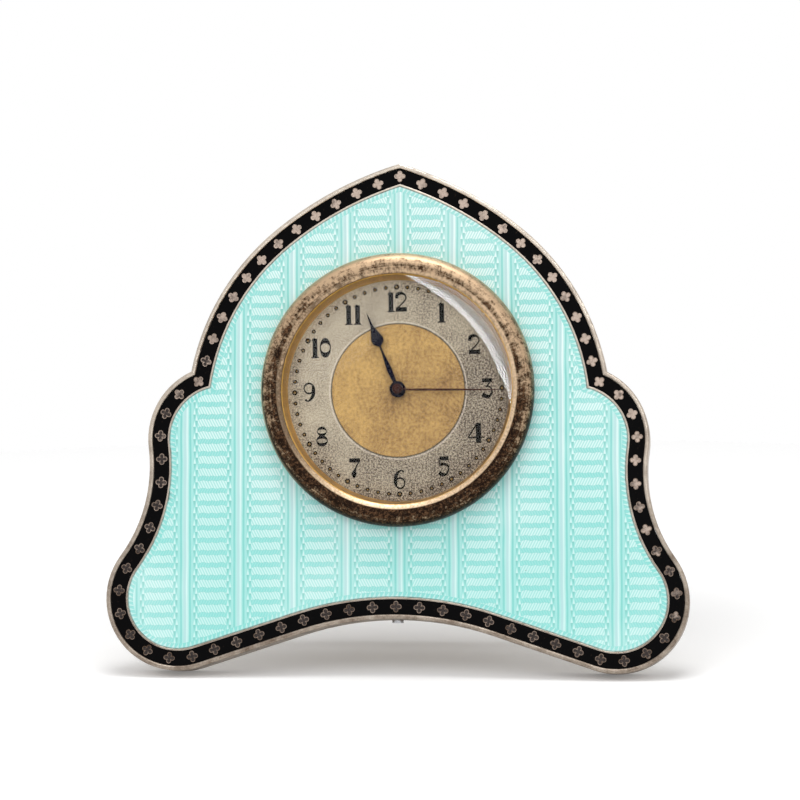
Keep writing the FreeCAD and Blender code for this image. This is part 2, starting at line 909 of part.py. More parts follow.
barrel_feet = [plus(dial, polar(foot_reach, degrees)) for degrees in barrel_foot_deg]
barrel_feet.append(plus(dial, polar(inner_foot_reach, inner_foot_deg)))
train_feet = [plus(dial, polar(foot_reach, degrees)) for degrees in train_foot_deg]
cock_foot = plus(dial, polar(foot_reach, cock_foot_deg))


def make_main_plate():
    plate = disc(plate_radius, plate_front, plate_back, dial)
    holes = [disc(centre_arbor_radius + pivot_gap, 0.0, bridge_back, dial)]
    holes += pivot_holes([second, third, fourth, escape, fork, balance])
    holes.append(disc(barrel_arbor_radius + pivot_gap, plate_front + plate_thick / 2, bridge_back, barrel))
    for degrees in dial_foot_deg:
        place = plus(dial, polar(dial_foot_reach, degrees))
        holes.append(disc(dial_foot_radius + seat_gap, 0.0, plate_back + overrun, place))
    post = disc(post_radius, hour_wheel_front, plate_front + plate_thick / 2, minute_post)
    return fuse([plate.cut(group(holes)), post])


def bridge_region(side):
    # Half of the disc on one side of the split line between the two bridges
    way = polar(1.0, bridge_split_deg)
    across = (-way[1], way[0])
    start = along(dial, way, plate_radius * bridge_split_share + side * bridge_gap / 2)
    far = 2 * plate_radius
    points = [along(start, across, far), along(start, across, -far)]
    points += [along(points[1], way, side * far), along(points[0], way, side * far)]
    return sheet([polygon(points)], bridge_front - overrun, bridge_back + overrun)


def with_feet(bridge, places):
    feet = [disc(foot_radius, plate_back, bridge_front, place) for place in places]
    screws = [disc(screw_radius, plate_back - overrun, bridge_back + overrun, place) for place in places]
    return fuse([bridge] + feet).cut(group(screws))


def make_barrel_bridge():
    bridge = disc(bridge_radius, bridge_front, bridge_back, dial).common(bridge_region(-1))
    top = dial_z + plate_radius * bridge_top_share
    far = bridge_radius + overrun
    bridge = bridge.common(box(-far, far, bridge_front - overrun, bridge_back + overrun, dial_z - far, top))
    bridge = with_feet(bridge, barrel_feet)
    holes = [disc(centre_arbor_radius + pivot_gap, 0.0, bridge_back + overrun, dial)]
    holes.append(disc(barrel_arbor_radius + pivot_gap, 0.0, bridge_back + overrun, barrel))
    holes += pivot_holes([second])
    return bridge.cut(group(holes))


def make_train_bridge():
    bridge = disc(bridge_radius, bridge_front, bridge_back, dial).common(bridge_region(1))
    bridge = with_feet(bridge, train_feet)
    return bridge.cut(group(pivot_holes([third, fourth, escape])))


def make_balance_cock():
    back = bridge_back - regulator_thick
    arm = sheet([bar_outline(cock_foot, balance, cock_width)], bridge_front, back)
    ends = [disc(cock_width / 2, bridge_front, back, place) for place in (cock_foot, balance)]
    leg = disc(foot_radius, plate_back, bridge_front, cock_foot)
    boss = disc(regulator_inner - pivot_gap, back, bridge_back + regulator_thick, balance)
    holes = pivot_holes([balance])
    holes.append(disc(screw_radius, plate_back - overrun, bridge_back + overrun, cock_foot))
    return fuse([arm, leg, boss] + ends).cut(group(holes))


def make_pallet_bridge():
    # A low strip over the fork's arbor, beside the balance
    back = balance_front - end_shake
    front = back - pallet_strip_thick
    foot = plus(fork, polar(pallet_strip_reach, fork_turn_deg + 90.0))
    strip = sheet([bar_outline(foot, fork, 2 * pallet_strip_radius)], front, back)
    ends = [disc(pallet_strip_radius, front, back, fork), disc(pallet_strip_radius, plate_back, back, foot)]
    hole = disc(pivot_radius + pivot_gap, front - overrun, front + pallet_hole_depth, fork)
    return fuse([strip] + ends).cut(hole)


# Train

centre_phase = 0.0
third_pinion_phase = meshed_phase(centre_phase, centre_teeth, third_pinion_teeth, direction(dial, third))
fourth_pinion_phase = meshed_phase(third_pinion_phase, third_teeth, fourth_pinion_teeth,
                                   direction(third, fourth))
escape_pinion_phase = meshed_phase(fourth_pinion_phase, fourth_teeth, escape_pinion_teeth,
                                   direction(fourth, escape))
second_phase = meshed_phase(centre_phase, centre_pinion_teeth, second_teeth, direction(dial, second))
great_phase = meshed_phase(second_phase, winding_pinion_teeth, great_teeth, direction(second, barrel))


def leaves_span(front):
    return (front - pinion_extra, front + wheel_thick + pinion_extra)


def make_centre_wheel():
    wheel = toothed_wheel(centre_teeth, centre_module, dial, centre_phase, centre_wheel_front,
                          centre_arbor_radius)
    low, high = leaves_span(second_wheel_front)
    leaves = pinion(centre_pinion_teeth, second_module, dial, centre_phase, low, high)
    arbor = disc(centre_arbor_radius, plate_front + end_shake, bridge_back - end_shake, dial)
    bore = disc(set_arbor_radius + pivot_gap, 0.0, bridge_back + overrun, dial)
    return fuse([wheel, leaves, arbor]).cut(bore)


def make_second_wheel():
    wheel = toothed_wheel(second_teeth, second_module, second, second_phase, second_wheel_front, post_radius)
    leaves = pinion(winding_pinion_teeth, great_module, second, second_phase,
                    great_front - end_shake, great_front + great_thick + pinion_extra)
    return mobile(wheel, leaves, second, train_front, train_back)


def make_third_wheel():
    wheel = toothed_wheel(third_teeth, third_module, third, third_pinion_phase, third_wheel_front,
                          post_radius)
    low = train_front + pivot_gap
    leaves = pinion(third_pinion_teeth, centre_module, third, third_pinion_phase,
                    low, centre_wheel_front + wheel_thick + pinion_extra)
    return mobile(wheel, leaves, third, train_front, train_back)


def make_fourth_wheel():
    wheel = toothed_wheel(fourth_teeth, fourth_module, fourth, fourth_pinion_phase, fourth_wheel_front,
                          post_radius)
    low, high = leaves_span(third_wheel_front)
    leaves = pinion(fourth_pinion_teeth, third_module, fourth, fourth_pinion_phase, low, high)
    return mobile(wheel, leaves, fourth, train_front, train_back)


def make_escape_wheel():
    points = []
    pitch = 360.0 / escape_teeth
    for tooth in range(escape_teeth):
        middle = tooth * pitch
        points.append(plus(escape, polar(escape_root, middle - pitch * root_width_share / 2)))
        points.append(plus(escape, polar(escape_radius, middle)))
        points.append(plus(escape, polar(escape_radius, middle + pitch * tip_width_share / 2)))
        points.append(plus(escape, polar(escape_root, middle + pitch * tip_width_share)))
    wheel = sheet([polygon(points)], escape_front, escape_front + wheel_thick)
    low, high = leaves_span(fourth_wheel_front)
    leaves = pinion(escape_pinion_teeth, fourth_module, escape, escape_pinion_phase, low, high)
    arbor = disc(pivot_radius, train_front, train_back, escape)
    pivots = disc(pivot_radius, train_front - plate_thick / 2, train_back + bridge_thick / 2, escape)
    return fuse([wheel, leaves, arbor, pivots])


def make_barrel_drum():
    floor = great_front + great_thick
    bore = ring_wire(barrel_arbor_radius + pivot_gap, barrel)
    teeth = sheet([gear_outline(great_teeth, great_module, barrel, great_phase), bore], great_front, floor)
    wall = tube(drum_radius, drum_radius - drum_wall, floor, drum_back - drum_wall, barrel)
    return fuse([teeth, wall])


def make_barrel_lid():
    return tube(drum_radius, barrel_arbor_radius + pivot_gap, drum_back - drum_wall, drum_back, barrel)


def spiral_wire(place, inner, outer, turns, strip, steps):
    # A flat spiral strip: the outer side out and the inner side back
    outside = []
    inside = []
    count = turns * steps
    for step in range(count + 1):
        reach = inner + (outer - inner) * step / count
        angle = step * 360.0 / steps
        outside.append(plus(place, polar(reach + strip / 2, angle)))
        inside.append(plus(place, polar(reach - strip / 2, angle)))
    return polygon(outside + inside[::-1])


def make_mainspring():
    front = great_front + great_thick + end_shake
    back = drum_back - drum_wall - end_shake
    wire = spiral_wire(barrel, spring_inner, spring_outer, spring_turns, spring_strip, spring_steps)
    return sheet([wire], front, back)


def make_barrel_arbor():
    return disc(barrel_arbor_radius, plate_front + plate_thick / 2 + end_shake,
                key_front + key_seat_depth, barrel)


def make_ratchet_wheel():
    points = []
    pitch = 360.0 / ratchet_teeth
    for tooth in range(ratchet_teeth):
        points.append(plus(barrel, polar(ratchet_radius, tooth * pitch)))
        points.append(plus(barrel, polar(ratchet_root, tooth * pitch + pitch * tip_width_share)))
    bore = ring_wire(barrel_arbor_radius + seat_gap, barrel)
    return sheet([polygon(points), bore], ratchet_front, ratchet_back)


def make_click():
    # Pawl on its stud, its nose just clear of the teeth
    inward = unit(click_place, barrel)
    across = (-inward[1], inward[0])
    nose = along(click_place, inward, click_reach - click_gap)
    half = click_width / 2
    nose_half = half * click_nose_share
    corners = [along(click_place, across, half), along(nose, across, nose_half),
               along(nose, across, -nose_half), along(click_place, across, -half)]
    pawl = sheet([polygon(corners)], ratchet_front, ratchet_back)
    head = disc(half, ratchet_front, ratchet_back, click_place)
    bore = disc(post_radius + pivot_gap, 0.0, cover_back, click_place)
    return fuse([pawl, head]).cut(bore)


def make_click_screw():
    shank = disc(post_radius, bridge_back, ratchet_back + end_shake, click_place)
    head = disc(click_width / 2, ratchet_back + end_shake, ratchet_back + end_shake + regulator_thick,
                click_place)
    slot = box(click_place[0] - click_width, click_place[0] + click_width,
               ratchet_back + end_shake + regulator_thick - slot_depth, cover_back,
               click_place[1] - slot_width / 2, click_place[1] + slot_width / 2)
    return fuse([shank, head]).cut(slot)


def make_fork():
    # Lever with its pallets in one piece; the slot takes the roller's pin
    to_balance = unit(fork, balance)
    back = escape_front + fork_thick
    end = along(fork, to_balance, balance_reach - roller_pin_reach + roller_pin_radius)
    lever = sheet([bar_outline(fork, end, fork_width)], escape_front, back)
    floor = along(end, to_balance, -fork_slot_depth)
    mouth = along(end, to_balance, overrun)
    slot = sheet([bar_outline(floor, mouth, 2 * (roller_pin_radius + slot_gap))],
                 escape_front - overrun, back + overrun)
    arms = []
    span = math.degrees(math.acos(escape_radius / fork_reach))
    for side in (-1, 1):
        line = direction(escape, fork) + side * span
        near = plus(escape, polar(escape_radius + pallet_gap, line))
        far = plus(escape, polar(escape_radius + pallet_gap + pallet_width, line))
        arms.append(sheet([polygon([fork, near, far])], escape_front, back))
    staff_back = balance_front - pallet_strip_thick + pallet_hole_depth - 2 * end_shake
    staff = disc(pivot_radius, train_front - plate_thick / 2, staff_back, fork)
    boss = disc(fork_width / 2 + pivot_gap, escape_front, back, fork)
    body = fuse([lever, boss] + arms).cut(slot)
    return fuse([body, staff])


def make_balance_wheel():
    # Rim with two arms on a staff, and a roller with its pin below
    rim = tube(balance_radius, balance_radius - balance_rim_width, balance_front,
               balance_front + balance_thick, balance)
    bar = box(-balance_radius + balance_rim_width / 2, balance_radius - balance_rim_width / 2,
              balance_front, balance_front + balance_thick / 2, -arm_width / 2, arm_width / 2)
    bar.rotate(Vec(0, 0, 0), Vec(0, 1, 0), -fork_turn_deg - 90.0)
    bar.translate(flat(balance))
    staff = disc(pivot_radius, train_front - plate_thick / 2, train_back + bridge_thick / 2, balance)
    collet = disc(hairspring_inner - hairspring_strip - pivot_gap * 2, hairspring_front,
                  hairspring_front + hairspring_depth, balance)
    roller_back = balance_front - end_shake * 2
    roller_front = escape_front + fork_thick + end_shake * 2
    roller = disc(roller_pin_reach + 2 * roller_pin_radius, roller_front, roller_back, balance)
    pin_place = along(balance, unit(balance, fork), roller_pin_reach)
    pin = disc(roller_pin_radius, escape_front, roller_back, pin_place)
    return fuse([rim, bar, staff, collet, roller, pin])


def make_hairspring():
    wire = spiral_wire(balance, hairspring_inner, hairspring_outer, hairspring_turns, hairspring_strip,
                       spring_steps)
    return sheet([wire], hairspring_front, hairspring_front + hairspring_depth)


def make_regulator():
    front = bridge_back - regulator_thick + end_shake
    back = front + regulator_thick
    ring = disc(regulator_outer, front, back, balance)
    reach = plus(balance, polar(regulator_reach, regulator_deg))
    tail = sheet([bar_outline(balance, reach, regulator_width)], front, back)
    pin = disc(regulator_pin_radius, front, cover_back + regulator_thick, reach)
    bore = disc(regulator_inner, 0.0, back + regulator_thick / 2, balance)
    return fuse([ring, tail, pin]).cut(bore)


def slotted_screw(place, tip, seat):
    shank = disc(screw_radius - seat_gap, tip, seat, place)
    head = disc(screw_head_radius, seat, seat + screw_head_thick, place)
    slot = box(place[0] - screw_head_radius, place[0] + screw_head_radius,
               seat + screw_head_thick - slot_depth, seat + overrun,
               place[1] - slot_width / 2, place[1] + slot_width / 2)
    return fuse([shank, head]).cut(slot)


def make_bridge_screws():
    # Screws of the two bridges and the cock, with slotted heads
    screws = [slotted_screw(place, plate_back + seat_gap, bridge_back) for place in barrel_feet + train_feet]
    screws.append(slotted_screw(cock_foot, plate_back + seat_gap, bridge_back - regulator_thick))
    return group(screws)


# Holding the movement in the case

def make_movement_ring():
    ring = tube(ring_outer, plate_radius + fit_gap, front_thick + seat_gap, plate_back - end_shake, dial)
    holes = [disc(screw_radius, plate_front, plate_back + overrun, place) for place in clamp_places()]
    return ring.cut(group(holes))


def clamp_places():
    reach = (plate_radius + ring_outer) / 2
    step = 360.0 / clamp_count
    return [plus(dial, polar(reach, clamp_first_deg + turn * step)) for turn in range(clamp_count)]


def make_case_clamps():
    clamps = []
    band = tube(clamp_outer, clamp_inner, plate_back, plate_back + clamp_thick, dial)
    for place in clamp_places():
        half = clamp_width / 2
        reach = disc(half, plate_back - overrun, plate_back + overrun, place)
        hole = disc(screw_radius, plate_back - overrun, plate_back + overrun, place)
        clamps.append(band.common(reach).cut(hole))
    return group(clamps)


def make_clamp_screws():
    seat = plate_back + clamp_thick
    return group([slotted_screw(place, plate_front + seat_gap, seat) for place in clamp_places()])


def make_movement_cover():
    inner = cover_outer - cover_wall
    floor = cover_back - cover_wall
    profile = [
        (0.0, floor),
        (inner, floor),
        (inner, plate_back),
        (cover_outer, plate_back),
        (cover_outer, cover_back - cover_round),
        ((cover_outer - cover_round * (1 - math.sqrt(0.5)), cover_back - cover_round * (1 - math.sqrt(0.5))),
         (cover_outer - cover_round, cover_back)),
        (0.0, cover_back),
    ]
    cover = lathe(profile, dial)
    holes = [disc(set_arbor_radius + cover_hole_gap, floor - overrun, cover_back + overrun, dial)]
    holes.append(disc(barrel_arbor_radius + cover_hole_gap, floor - overrun, cover_back + overrun, barrel))
    slot_half = regulator_pin_radius + cover_hole_gap
    slot = tube(regulator_reach + slot_half, regulator_reach - slot_half, floor - overrun,
                cover_back + overrun, balance)
    sweep = regulator_swing_deg + math.degrees(slot_half / regulator_reach)
    far = 2 * regulator_reach
    wedge = polygon([balance, plus(balance, polar(far, regulator_deg - sweep)),
                     plus(balance, polar(far, regulator_deg + sweep))])
    holes.append(slot.common(sheet([wedge], floor - overrun, cover_back + overrun)))
    return cover.cut(group(holes))


# Winding key

def make_key_hub():
    hub = disc(key_hub_radius, key_front, key_front + key_hub_length, barrel)
    bore = disc(barrel_arbor_radius + seat_gap, key_front - overrun, key_front + key_seat_depth + seat_gap,
                barrel)
    hole = Part.makeCylinder(key_pin_radius, 4 * key_hub_radius,
                             Vec(barrel[0] - 2 * key_hub_radius, key_axis_y, barrel[1]), Vec(1, 0, 0))
    return hub.cut(bore).cut(hole)


def make_key_pin():
    half = key_hub_radius + key_side_gap + key_loop_wire
    return Part.makeCylinder(key_pin_radius - seat_gap, 2 * half,
                             Vec(barrel[0] - half, key_axis_y, barrel[1]), Vec(1, 0, 0))


def make_key_loop():
    # A flat loop that lies down against the cover, away from the knob
    inner = key_hub_radius + key_side_gap
    outer = inner + key_loop_wire
    front = key_axis_y - key_loop_wire / 2
    back = key_axis_y + key_loop_wire / 2
    low = barrel[1] - key_loop_reach + outer
    arms = box(barrel[0] - outer, barrel[0] + outer, front, back, low, barrel[1] + key_loop_wire / 2)
    bow = disc(outer, front, back, (barrel[0], low))
    hole = disc(inner, front - overrun, back + overrun, (barrel[0], low))
    gap = box(barrel[0] - inner, barrel[0] + inner, front - overrun, back + overrun, low,
              barrel[1] + overrun)
    pin_hole = Part.makeCylinder(key_pin_radius + pivot_gap, 4 * outer,
                                 Vec(barrel[0] - 2 * outer, key_axis_y, barrel[1]), Vec(1, 0, 0))
    return fuse([arms, bow]).cut(group([hole, gap])).cut(pin_hole)


# Strut and its hinge

def barrel_x(radius, x_low, x_high):
    return Part.makeCylinder(radius, x_high - x_low, Vec(x_low, hinge_y, hinge_z), Vec(1, 0, 0))


def make_hinge_leaf():
    low = hinge_z - leaf_below
    high = hinge_z + leaf_above
    leaf = box(-leaf_half_width, leaf_half_width, back_back, back_back + leaf_thick, low, high)
    knuckles = []
    for side in (-1, 1):
        ends = sorted((side * (mid_knuckle_half + knuckle_gap), side * leaf_half_width))
        web = box(ends[0], ends[1], back_back, hinge_y, hinge_z - knuckle_radius, hinge_z + knuckle_radius)
        knuckles += [barrel_x(knuckle_radius, ends[0], ends[1]), web]
    relief = barrel_x(knuckle_radius + knuckle_gap, -mid_knuckle_half - knuckle_gap,
                      mid_knuckle_half + knuckle_gap)
    bore = barrel_x(pin_radius, -leaf_half_width - overrun, leaf_half_width + overrun)
    rivets = [disc(rivet_radius, back_front, back_back + overrun, place) for place in rivet_places()]
    return fuse([leaf] + knuckles).cut(group([relief, bore] + rivets))


def make_hinge_rivets():
    rivets = []
    seat = back_back + leaf_thick
    for place in rivet_places():
        shank = disc(rivet_radius - seat_gap, back_front, seat, place)
        head = disc(rivet_head_radius, seat, seat + rivet_head_thick, place)
        foot = disc(rivet_foot_radius, back_front - rivet_head_thick, back_front, place)
        rivets.append(fuse([shank, head, foot]))
    return group(rivets)


def make_hinge_pin():
    return barrel_x(pin_radius - seat_gap, -leaf_half_width - seat_gap, leaf_half_width + seat_gap)


def strut_foot_z():
    # Folded height of the foot's end, from the length that reaches the table when open
    lean = math.radians(lean_deg)
    drop = case_depth * math.sin(lean) - land_depth
    hinge_height = hinge_z * math.cos(lean) - hinge_y * math.sin(lean) + drop
    return hinge_z - hinge_height / math.cos(math.radians(strut_open_deg - lean_deg))


def make_strut():
    # An open stirrup: a ring round the movement cover, two legs, a brace, and a neck at the hinge
    front = hinge_y - strut_thick / 2
    back = hinge_y + strut_thick / 2
    ring_mid = strut_ring_inner + strut_bar / 2
    ring_outer_edge = strut_ring_inner + strut_bar
    foot = (strut_foot_x, strut_foot_z() - overrun)
    spread = math.degrees(math.acos(ring_mid / math.dist(dial, foot)))
    touch_deg = direction(dial, foot) + spread
    touch = plus(dial, polar(ring_mid, touch_deg))
    pieces = [tube(ring_outer_edge, strut_ring_inner, front, back, dial)]
    far = 2 * ring_outer_edge
    below = box(-far, far, front - overrun, back + overrun, dial_z - far, touch[1])
    pieces[0] = pieces[0].cut(below)
    leg_top = along(touch, unit(touch, foot), -strut_bar / 2)
    for ends in ((leg_top, foot), (mirrored(leg_top), mirrored(foot))):
        pieces.append(sheet([bar_outline(ends[0], ends[1], strut_bar)], front, back))
    brace_share = (touch[1] - strut_brace_z) / (touch[1] - foot[1])
    brace_x = touch[0] + (foot[0] - touch[0]) * brace_share
    pieces.append(box(-brace_x, brace_x, front, back, strut_brace_z - strut_bar / 2,
                      strut_brace_z + strut_bar / 2))
    neck_low = dial_z + ring_mid
    pieces.append(box(-neck_half_width, neck_half_width, front, back, neck_low,
                      hinge_z - knuckle_radius - 2 * knuckle_gap))
    pieces.append(box(-mid_knuckle_half, mid_knuckle_half, front, back, neck_low, hinge_z))
    opening = math.radians(strut_open_deg)
    heel = (hinge_y - strut_thick / 2 * math.cos(opening) - back_back - leaf_thick - heel_gap)
    heel_reach = heel / math.sin(opening)
    pieces.append(box(-mid_knuckle_half, mid_knuckle_half, front, back, hinge_z, hinge_z + heel_reach))
    pieces.append(barrel_x(knuckle_radius, -mid_knuckle_half, mid_knuckle_half))
    whole = fuse(pieces)
    clear = disc(strut_ring_inner, front - overrun, back + overrun, dial)
    whole = whole.cut(clear)
    bore_half = mid_knuckle_half + overrun
    whole = whole.cut(barrel_x(pin_radius + pivot_gap, -bore_half, bore_half))
    whole.rotate(Vec(0, hinge_y, hinge_z), Vec(1, 0, 0), strut_open_deg)
    return whole


pieces = {
    "case_rim": make_case_rim(),
    "front_plate": make_front_plate(),
    "border_enamel": make_border_enamel(),
    "border_flowers": make_border_flowers(),
    "enamel_panel": make_enamel_panel(),
    "back_plate": make_back_plate(),
    "back_ledges": make_back_ledges(),
    "screw_block": make_screw_block(),
    "rim_screw": make_rim_screw(),
    "bezel": make_bezel(),
    "crystal": make_crystal(),
    "dial_flange": make_dial_flange(),
    "dial": make_dial(),
    "hour_hand": make_hour_hand(),
    "minute_hand": make_minute_hand(),
    "cannon_pinion": make_cannon_pinion(),
    "minute_wheel": make_minute_wheel(),
    "hour_wheel": make_hour_wheel(),
    "set_arbor": make_set_arbor(),
    "set_knob": make_set_knob(),
    "movement_ring": make_movement_ring(),
    "case_clamps": make_case_clamps(),
    "clamp_screws": make_clamp_screws(),
    "main_plate": make_main_plate(),
    "barrel_bridge": make_barrel_bridge(),
    "train_bridge": make_train_bridge(),
    "balance_cock": make_balance_cock(),
    "pallet_bridge": make_pallet_bridge(),
    "bridge_screws": make_bridge_screws(),
    "centre_wheel": make_centre_wheel(),
    "second_wheel": make_second_wheel(),
    "third_wheel": make_third_wheel(),
    "fourth_wheel": make_fourth_wheel(),
    "escape_wheel": make_escape_wheel(),
    "pallet_fork": make_fork(),
    "balance_wheel": make_balance_wheel(),
    "hairspring": make_hairspring(),
    "regulator": make_regulator(),
    "barrel_drum": make_barrel_drum(),
    "barrel_lid": make_barrel_lid(),
    "mainspring": make_mainspring(),
    "barrel_arbor": make_barrel_arbor(),
    "ratchet_wheel": make_ratchet_wheel(),
    "click": make_click(),
    "click_screw": make_click_screw(),
    "movement_cover": make_movement_cover(),
    "key_hub": make_key_hub(),
    "key_pin": make_key_pin(),
    "key_loop": make_key_loop(),
    "hinge_leaf": make_hinge_leaf(),
    "hinge_rivets": make_hinge_rivets(),
    "hinge_pin": make_hinge_pin(),
    "strut": make_strut(),
}

# Lean the clock back, set it on the table and centre its box on the origin
drop_z = case_depth * math.sin(math.radians(lean_deg)) - land_depth


def leaned(shape):
    copy = shape.copy()
    copy.rotate(Vec(0, 0, 0), Vec(1, 0, 0), -lean_deg)
    copy.translate(Vec(0, 0, drop_z))
    return copy


table_reach = 4 * lobe_x
table = box(-table_reach, table_reach, -table_reach, table_reach, -table_reach, 0.0)
standing = {name: leaned(shape) for name, shape in pieces.items()}
for name in ("case_rim", "strut"):
    standing[name] = standing[name].cut(table)
outer_box = group([standing[name] for name in ("case_rim", "strut")]).optimalBoundingBox(False)
middle_y = (outer_box.YMin + outer_box.YMax) / 2


def leaned_place(place, y):
    # The same moves for a single place on the upright case
    lean = math.radians(lean_deg)
    across = y * math.cos(lean) + place[1] * math.sin(lean) - middle_y
    up = -y * math.sin(lean) + place[1] * math.cos(lean) + drop_z
    return (place[0], across, up)


axis_along_arbors = (0.0, math.cos(math.radians(lean_deg)), -math.sin(math.radians(lean_deg)))
joint_places = {
    "dial": leaned_place(dial, plate_front),
    "minute_post": leaned_place(minute_post, plate_front),
    "barrel": leaned_place(barrel, plate_front),
    "second": leaned_place(second, plate_front),
    "third": leaned_place(third, plate_front),
    "fourth": leaned_place(fourth, plate_front),
    "escape": leaned_place(escape, plate_front),
    "fork": leaned_place(fork, plate_front),
    "balance": leaned_place(balance, plate_front),
    "click": leaned_place(click_place, plate_front),
    "key": leaned_place(barrel, key_axis_y),
    "hinge": leaned_place((0.0, hinge_z), hinge_y),
}

os.makedirs("parts", exist_ok=True)
for name, shape in standing.items():
    shape.translate(Vec(0, -middle_y, 0))
    shape.exportStep("parts/" + name + ".step")
    print(name, len(shape.Solids), round(shape.Volume, 4), shape.isValid())
print("box", outer_box)
print("middle_y", middle_y)
print("axis", axis_along_arbors)
for name, place in joint_places.items():
    print(name, [round(value, 4) for value in place])
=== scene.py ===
import json
import math

import bmesh
import bpy
from mathutils import Matrix, Quaternion, Vector


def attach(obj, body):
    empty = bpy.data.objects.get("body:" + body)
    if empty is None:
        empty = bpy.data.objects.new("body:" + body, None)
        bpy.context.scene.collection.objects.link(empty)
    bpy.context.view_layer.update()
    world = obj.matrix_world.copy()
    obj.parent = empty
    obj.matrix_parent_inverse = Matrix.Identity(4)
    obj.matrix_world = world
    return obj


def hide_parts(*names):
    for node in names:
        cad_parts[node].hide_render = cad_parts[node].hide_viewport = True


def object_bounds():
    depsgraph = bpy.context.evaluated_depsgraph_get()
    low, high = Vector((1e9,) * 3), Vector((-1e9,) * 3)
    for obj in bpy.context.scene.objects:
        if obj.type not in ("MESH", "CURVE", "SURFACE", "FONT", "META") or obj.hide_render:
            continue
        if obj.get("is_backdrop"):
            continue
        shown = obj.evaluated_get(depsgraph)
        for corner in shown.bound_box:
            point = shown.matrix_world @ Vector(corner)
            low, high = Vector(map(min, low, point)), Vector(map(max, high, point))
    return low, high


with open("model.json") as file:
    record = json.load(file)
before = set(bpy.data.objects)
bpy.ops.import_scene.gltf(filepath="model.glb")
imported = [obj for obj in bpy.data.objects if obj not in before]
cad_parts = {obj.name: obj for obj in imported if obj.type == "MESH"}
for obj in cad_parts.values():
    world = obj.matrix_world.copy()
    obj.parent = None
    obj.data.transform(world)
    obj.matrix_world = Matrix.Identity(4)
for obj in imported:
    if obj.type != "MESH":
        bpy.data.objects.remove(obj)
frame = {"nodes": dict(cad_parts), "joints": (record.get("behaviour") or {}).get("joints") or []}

bl_info = {
    "name": "Easel Clock Finish",
    "version": (1, 0, 0),
    "blender": (4, 5, 0),
    "location": "3D View > Sidebar > Clock",
    "description": "Enamel, dial work, metals and glass for a small easel clock",
    "category": "Object",
}


# Sizes and colours


def length(name, description, millimetres):
    """A length, written here in millimetres."""
    return bpy.props.FloatProperty(
        name=name, description=description, default=millimetres / 1000, precision=6, subtype="DISTANCE",
        unit="LENGTH",
    )


def shade(name, description, red, green, blue):
    """A colour as a screen shows it, each part from 0 to 255."""
    return bpy.props.FloatVectorProperty(
        name=name, description=description, default=(red / 255, green / 255, blue / 255), size=3, min=0, max=1,
        subtype="COLOR_GAMMA",
    )


def angle(name, description, degrees):
    """An angle, written here in degrees."""
    return bpy.props.FloatProperty(
        name=name, description=description, default=math.radians(degrees), subtype="ANGLE", unit="ROTATION"
    )


class ClockSizes(bpy.types.PropertyGroup):
    """Sizes of the clock's finer work and of its stage."""

    dial_depth: length("Dial depth", "From the hands' drive back to the dial's front", 2.0)
    edge_ticks: length("Edge ticks", "Width of the row of ticks along the enamel's outline", 0.95)
    tick_pitch: length("Tick pitch", "From one tick to the next", 0.78)
    pillar_pitch: length("Pillar pitch", "From one engraved pillar to the next", 9.25)
    engraving_turn: angle("Engraving turn", "How far the engraving is turned on the case", 0.65)
    engraving_shift: length("Engraving shift", "How far the engraving sits to the right of the middle", 0.3)
    row_pitch: length("Row pitch", "From one engraved row to the next", 2.13)
    hatch_pitch: length("Hatch pitch", "From one hatching line to the next", 0.47)
    flower_rim: length("Flower rim", "Width of the raised wire round a flower", 0.12)
    flower_sink: length("Flower sink", "Depth of a flower's middle under its rim", 0.12)
    numeral_ring: length("Numeral ring", "Radius on which the numerals stand", 15.3)
    numeral_height: length("Numeral height", "Height of a numeral", 3.42)
    paint: length("Paint", "Thickness of the painted numerals and dots", 0.02)
    dot_ring: length("Dot ring", "Radius on which the minute dots stand", 17.85)
    dot_size: length("Dot size", "Width of a minute dot", 0.72)
    print_turn: angle("Print turn", "How far the numerals and dots are turned on the dial", 1.4)
    gilt_radius: length("Gilt radius", "Radius of the dial's gilt middle", 11.5)
    camera_reach: length("Camera reach", "From the camera to the clock", 650)
    camera_side: angle("Camera side", "How far the camera stands to the right", 5.3)
    camera_rise: angle("Camera rise", "How far the camera looks down", 6.8)
    camera_roll: angle("Camera roll", "How far the camera leans over", -0.58)
    aim_side: length("Aim side", "Where the camera aims, across", -0.42)
    aim_height: length("Aim height", "Where the camera aims, up", 45.82)
    lens: bpy.props.FloatProperty(name="Lens", description="Focal length in millimetres", default=168.2)
    lamp_power: bpy.props.FloatProperty(
        name="Lamp power", description="Power of the main lamp", default=4.6, unit="POWER"
    )


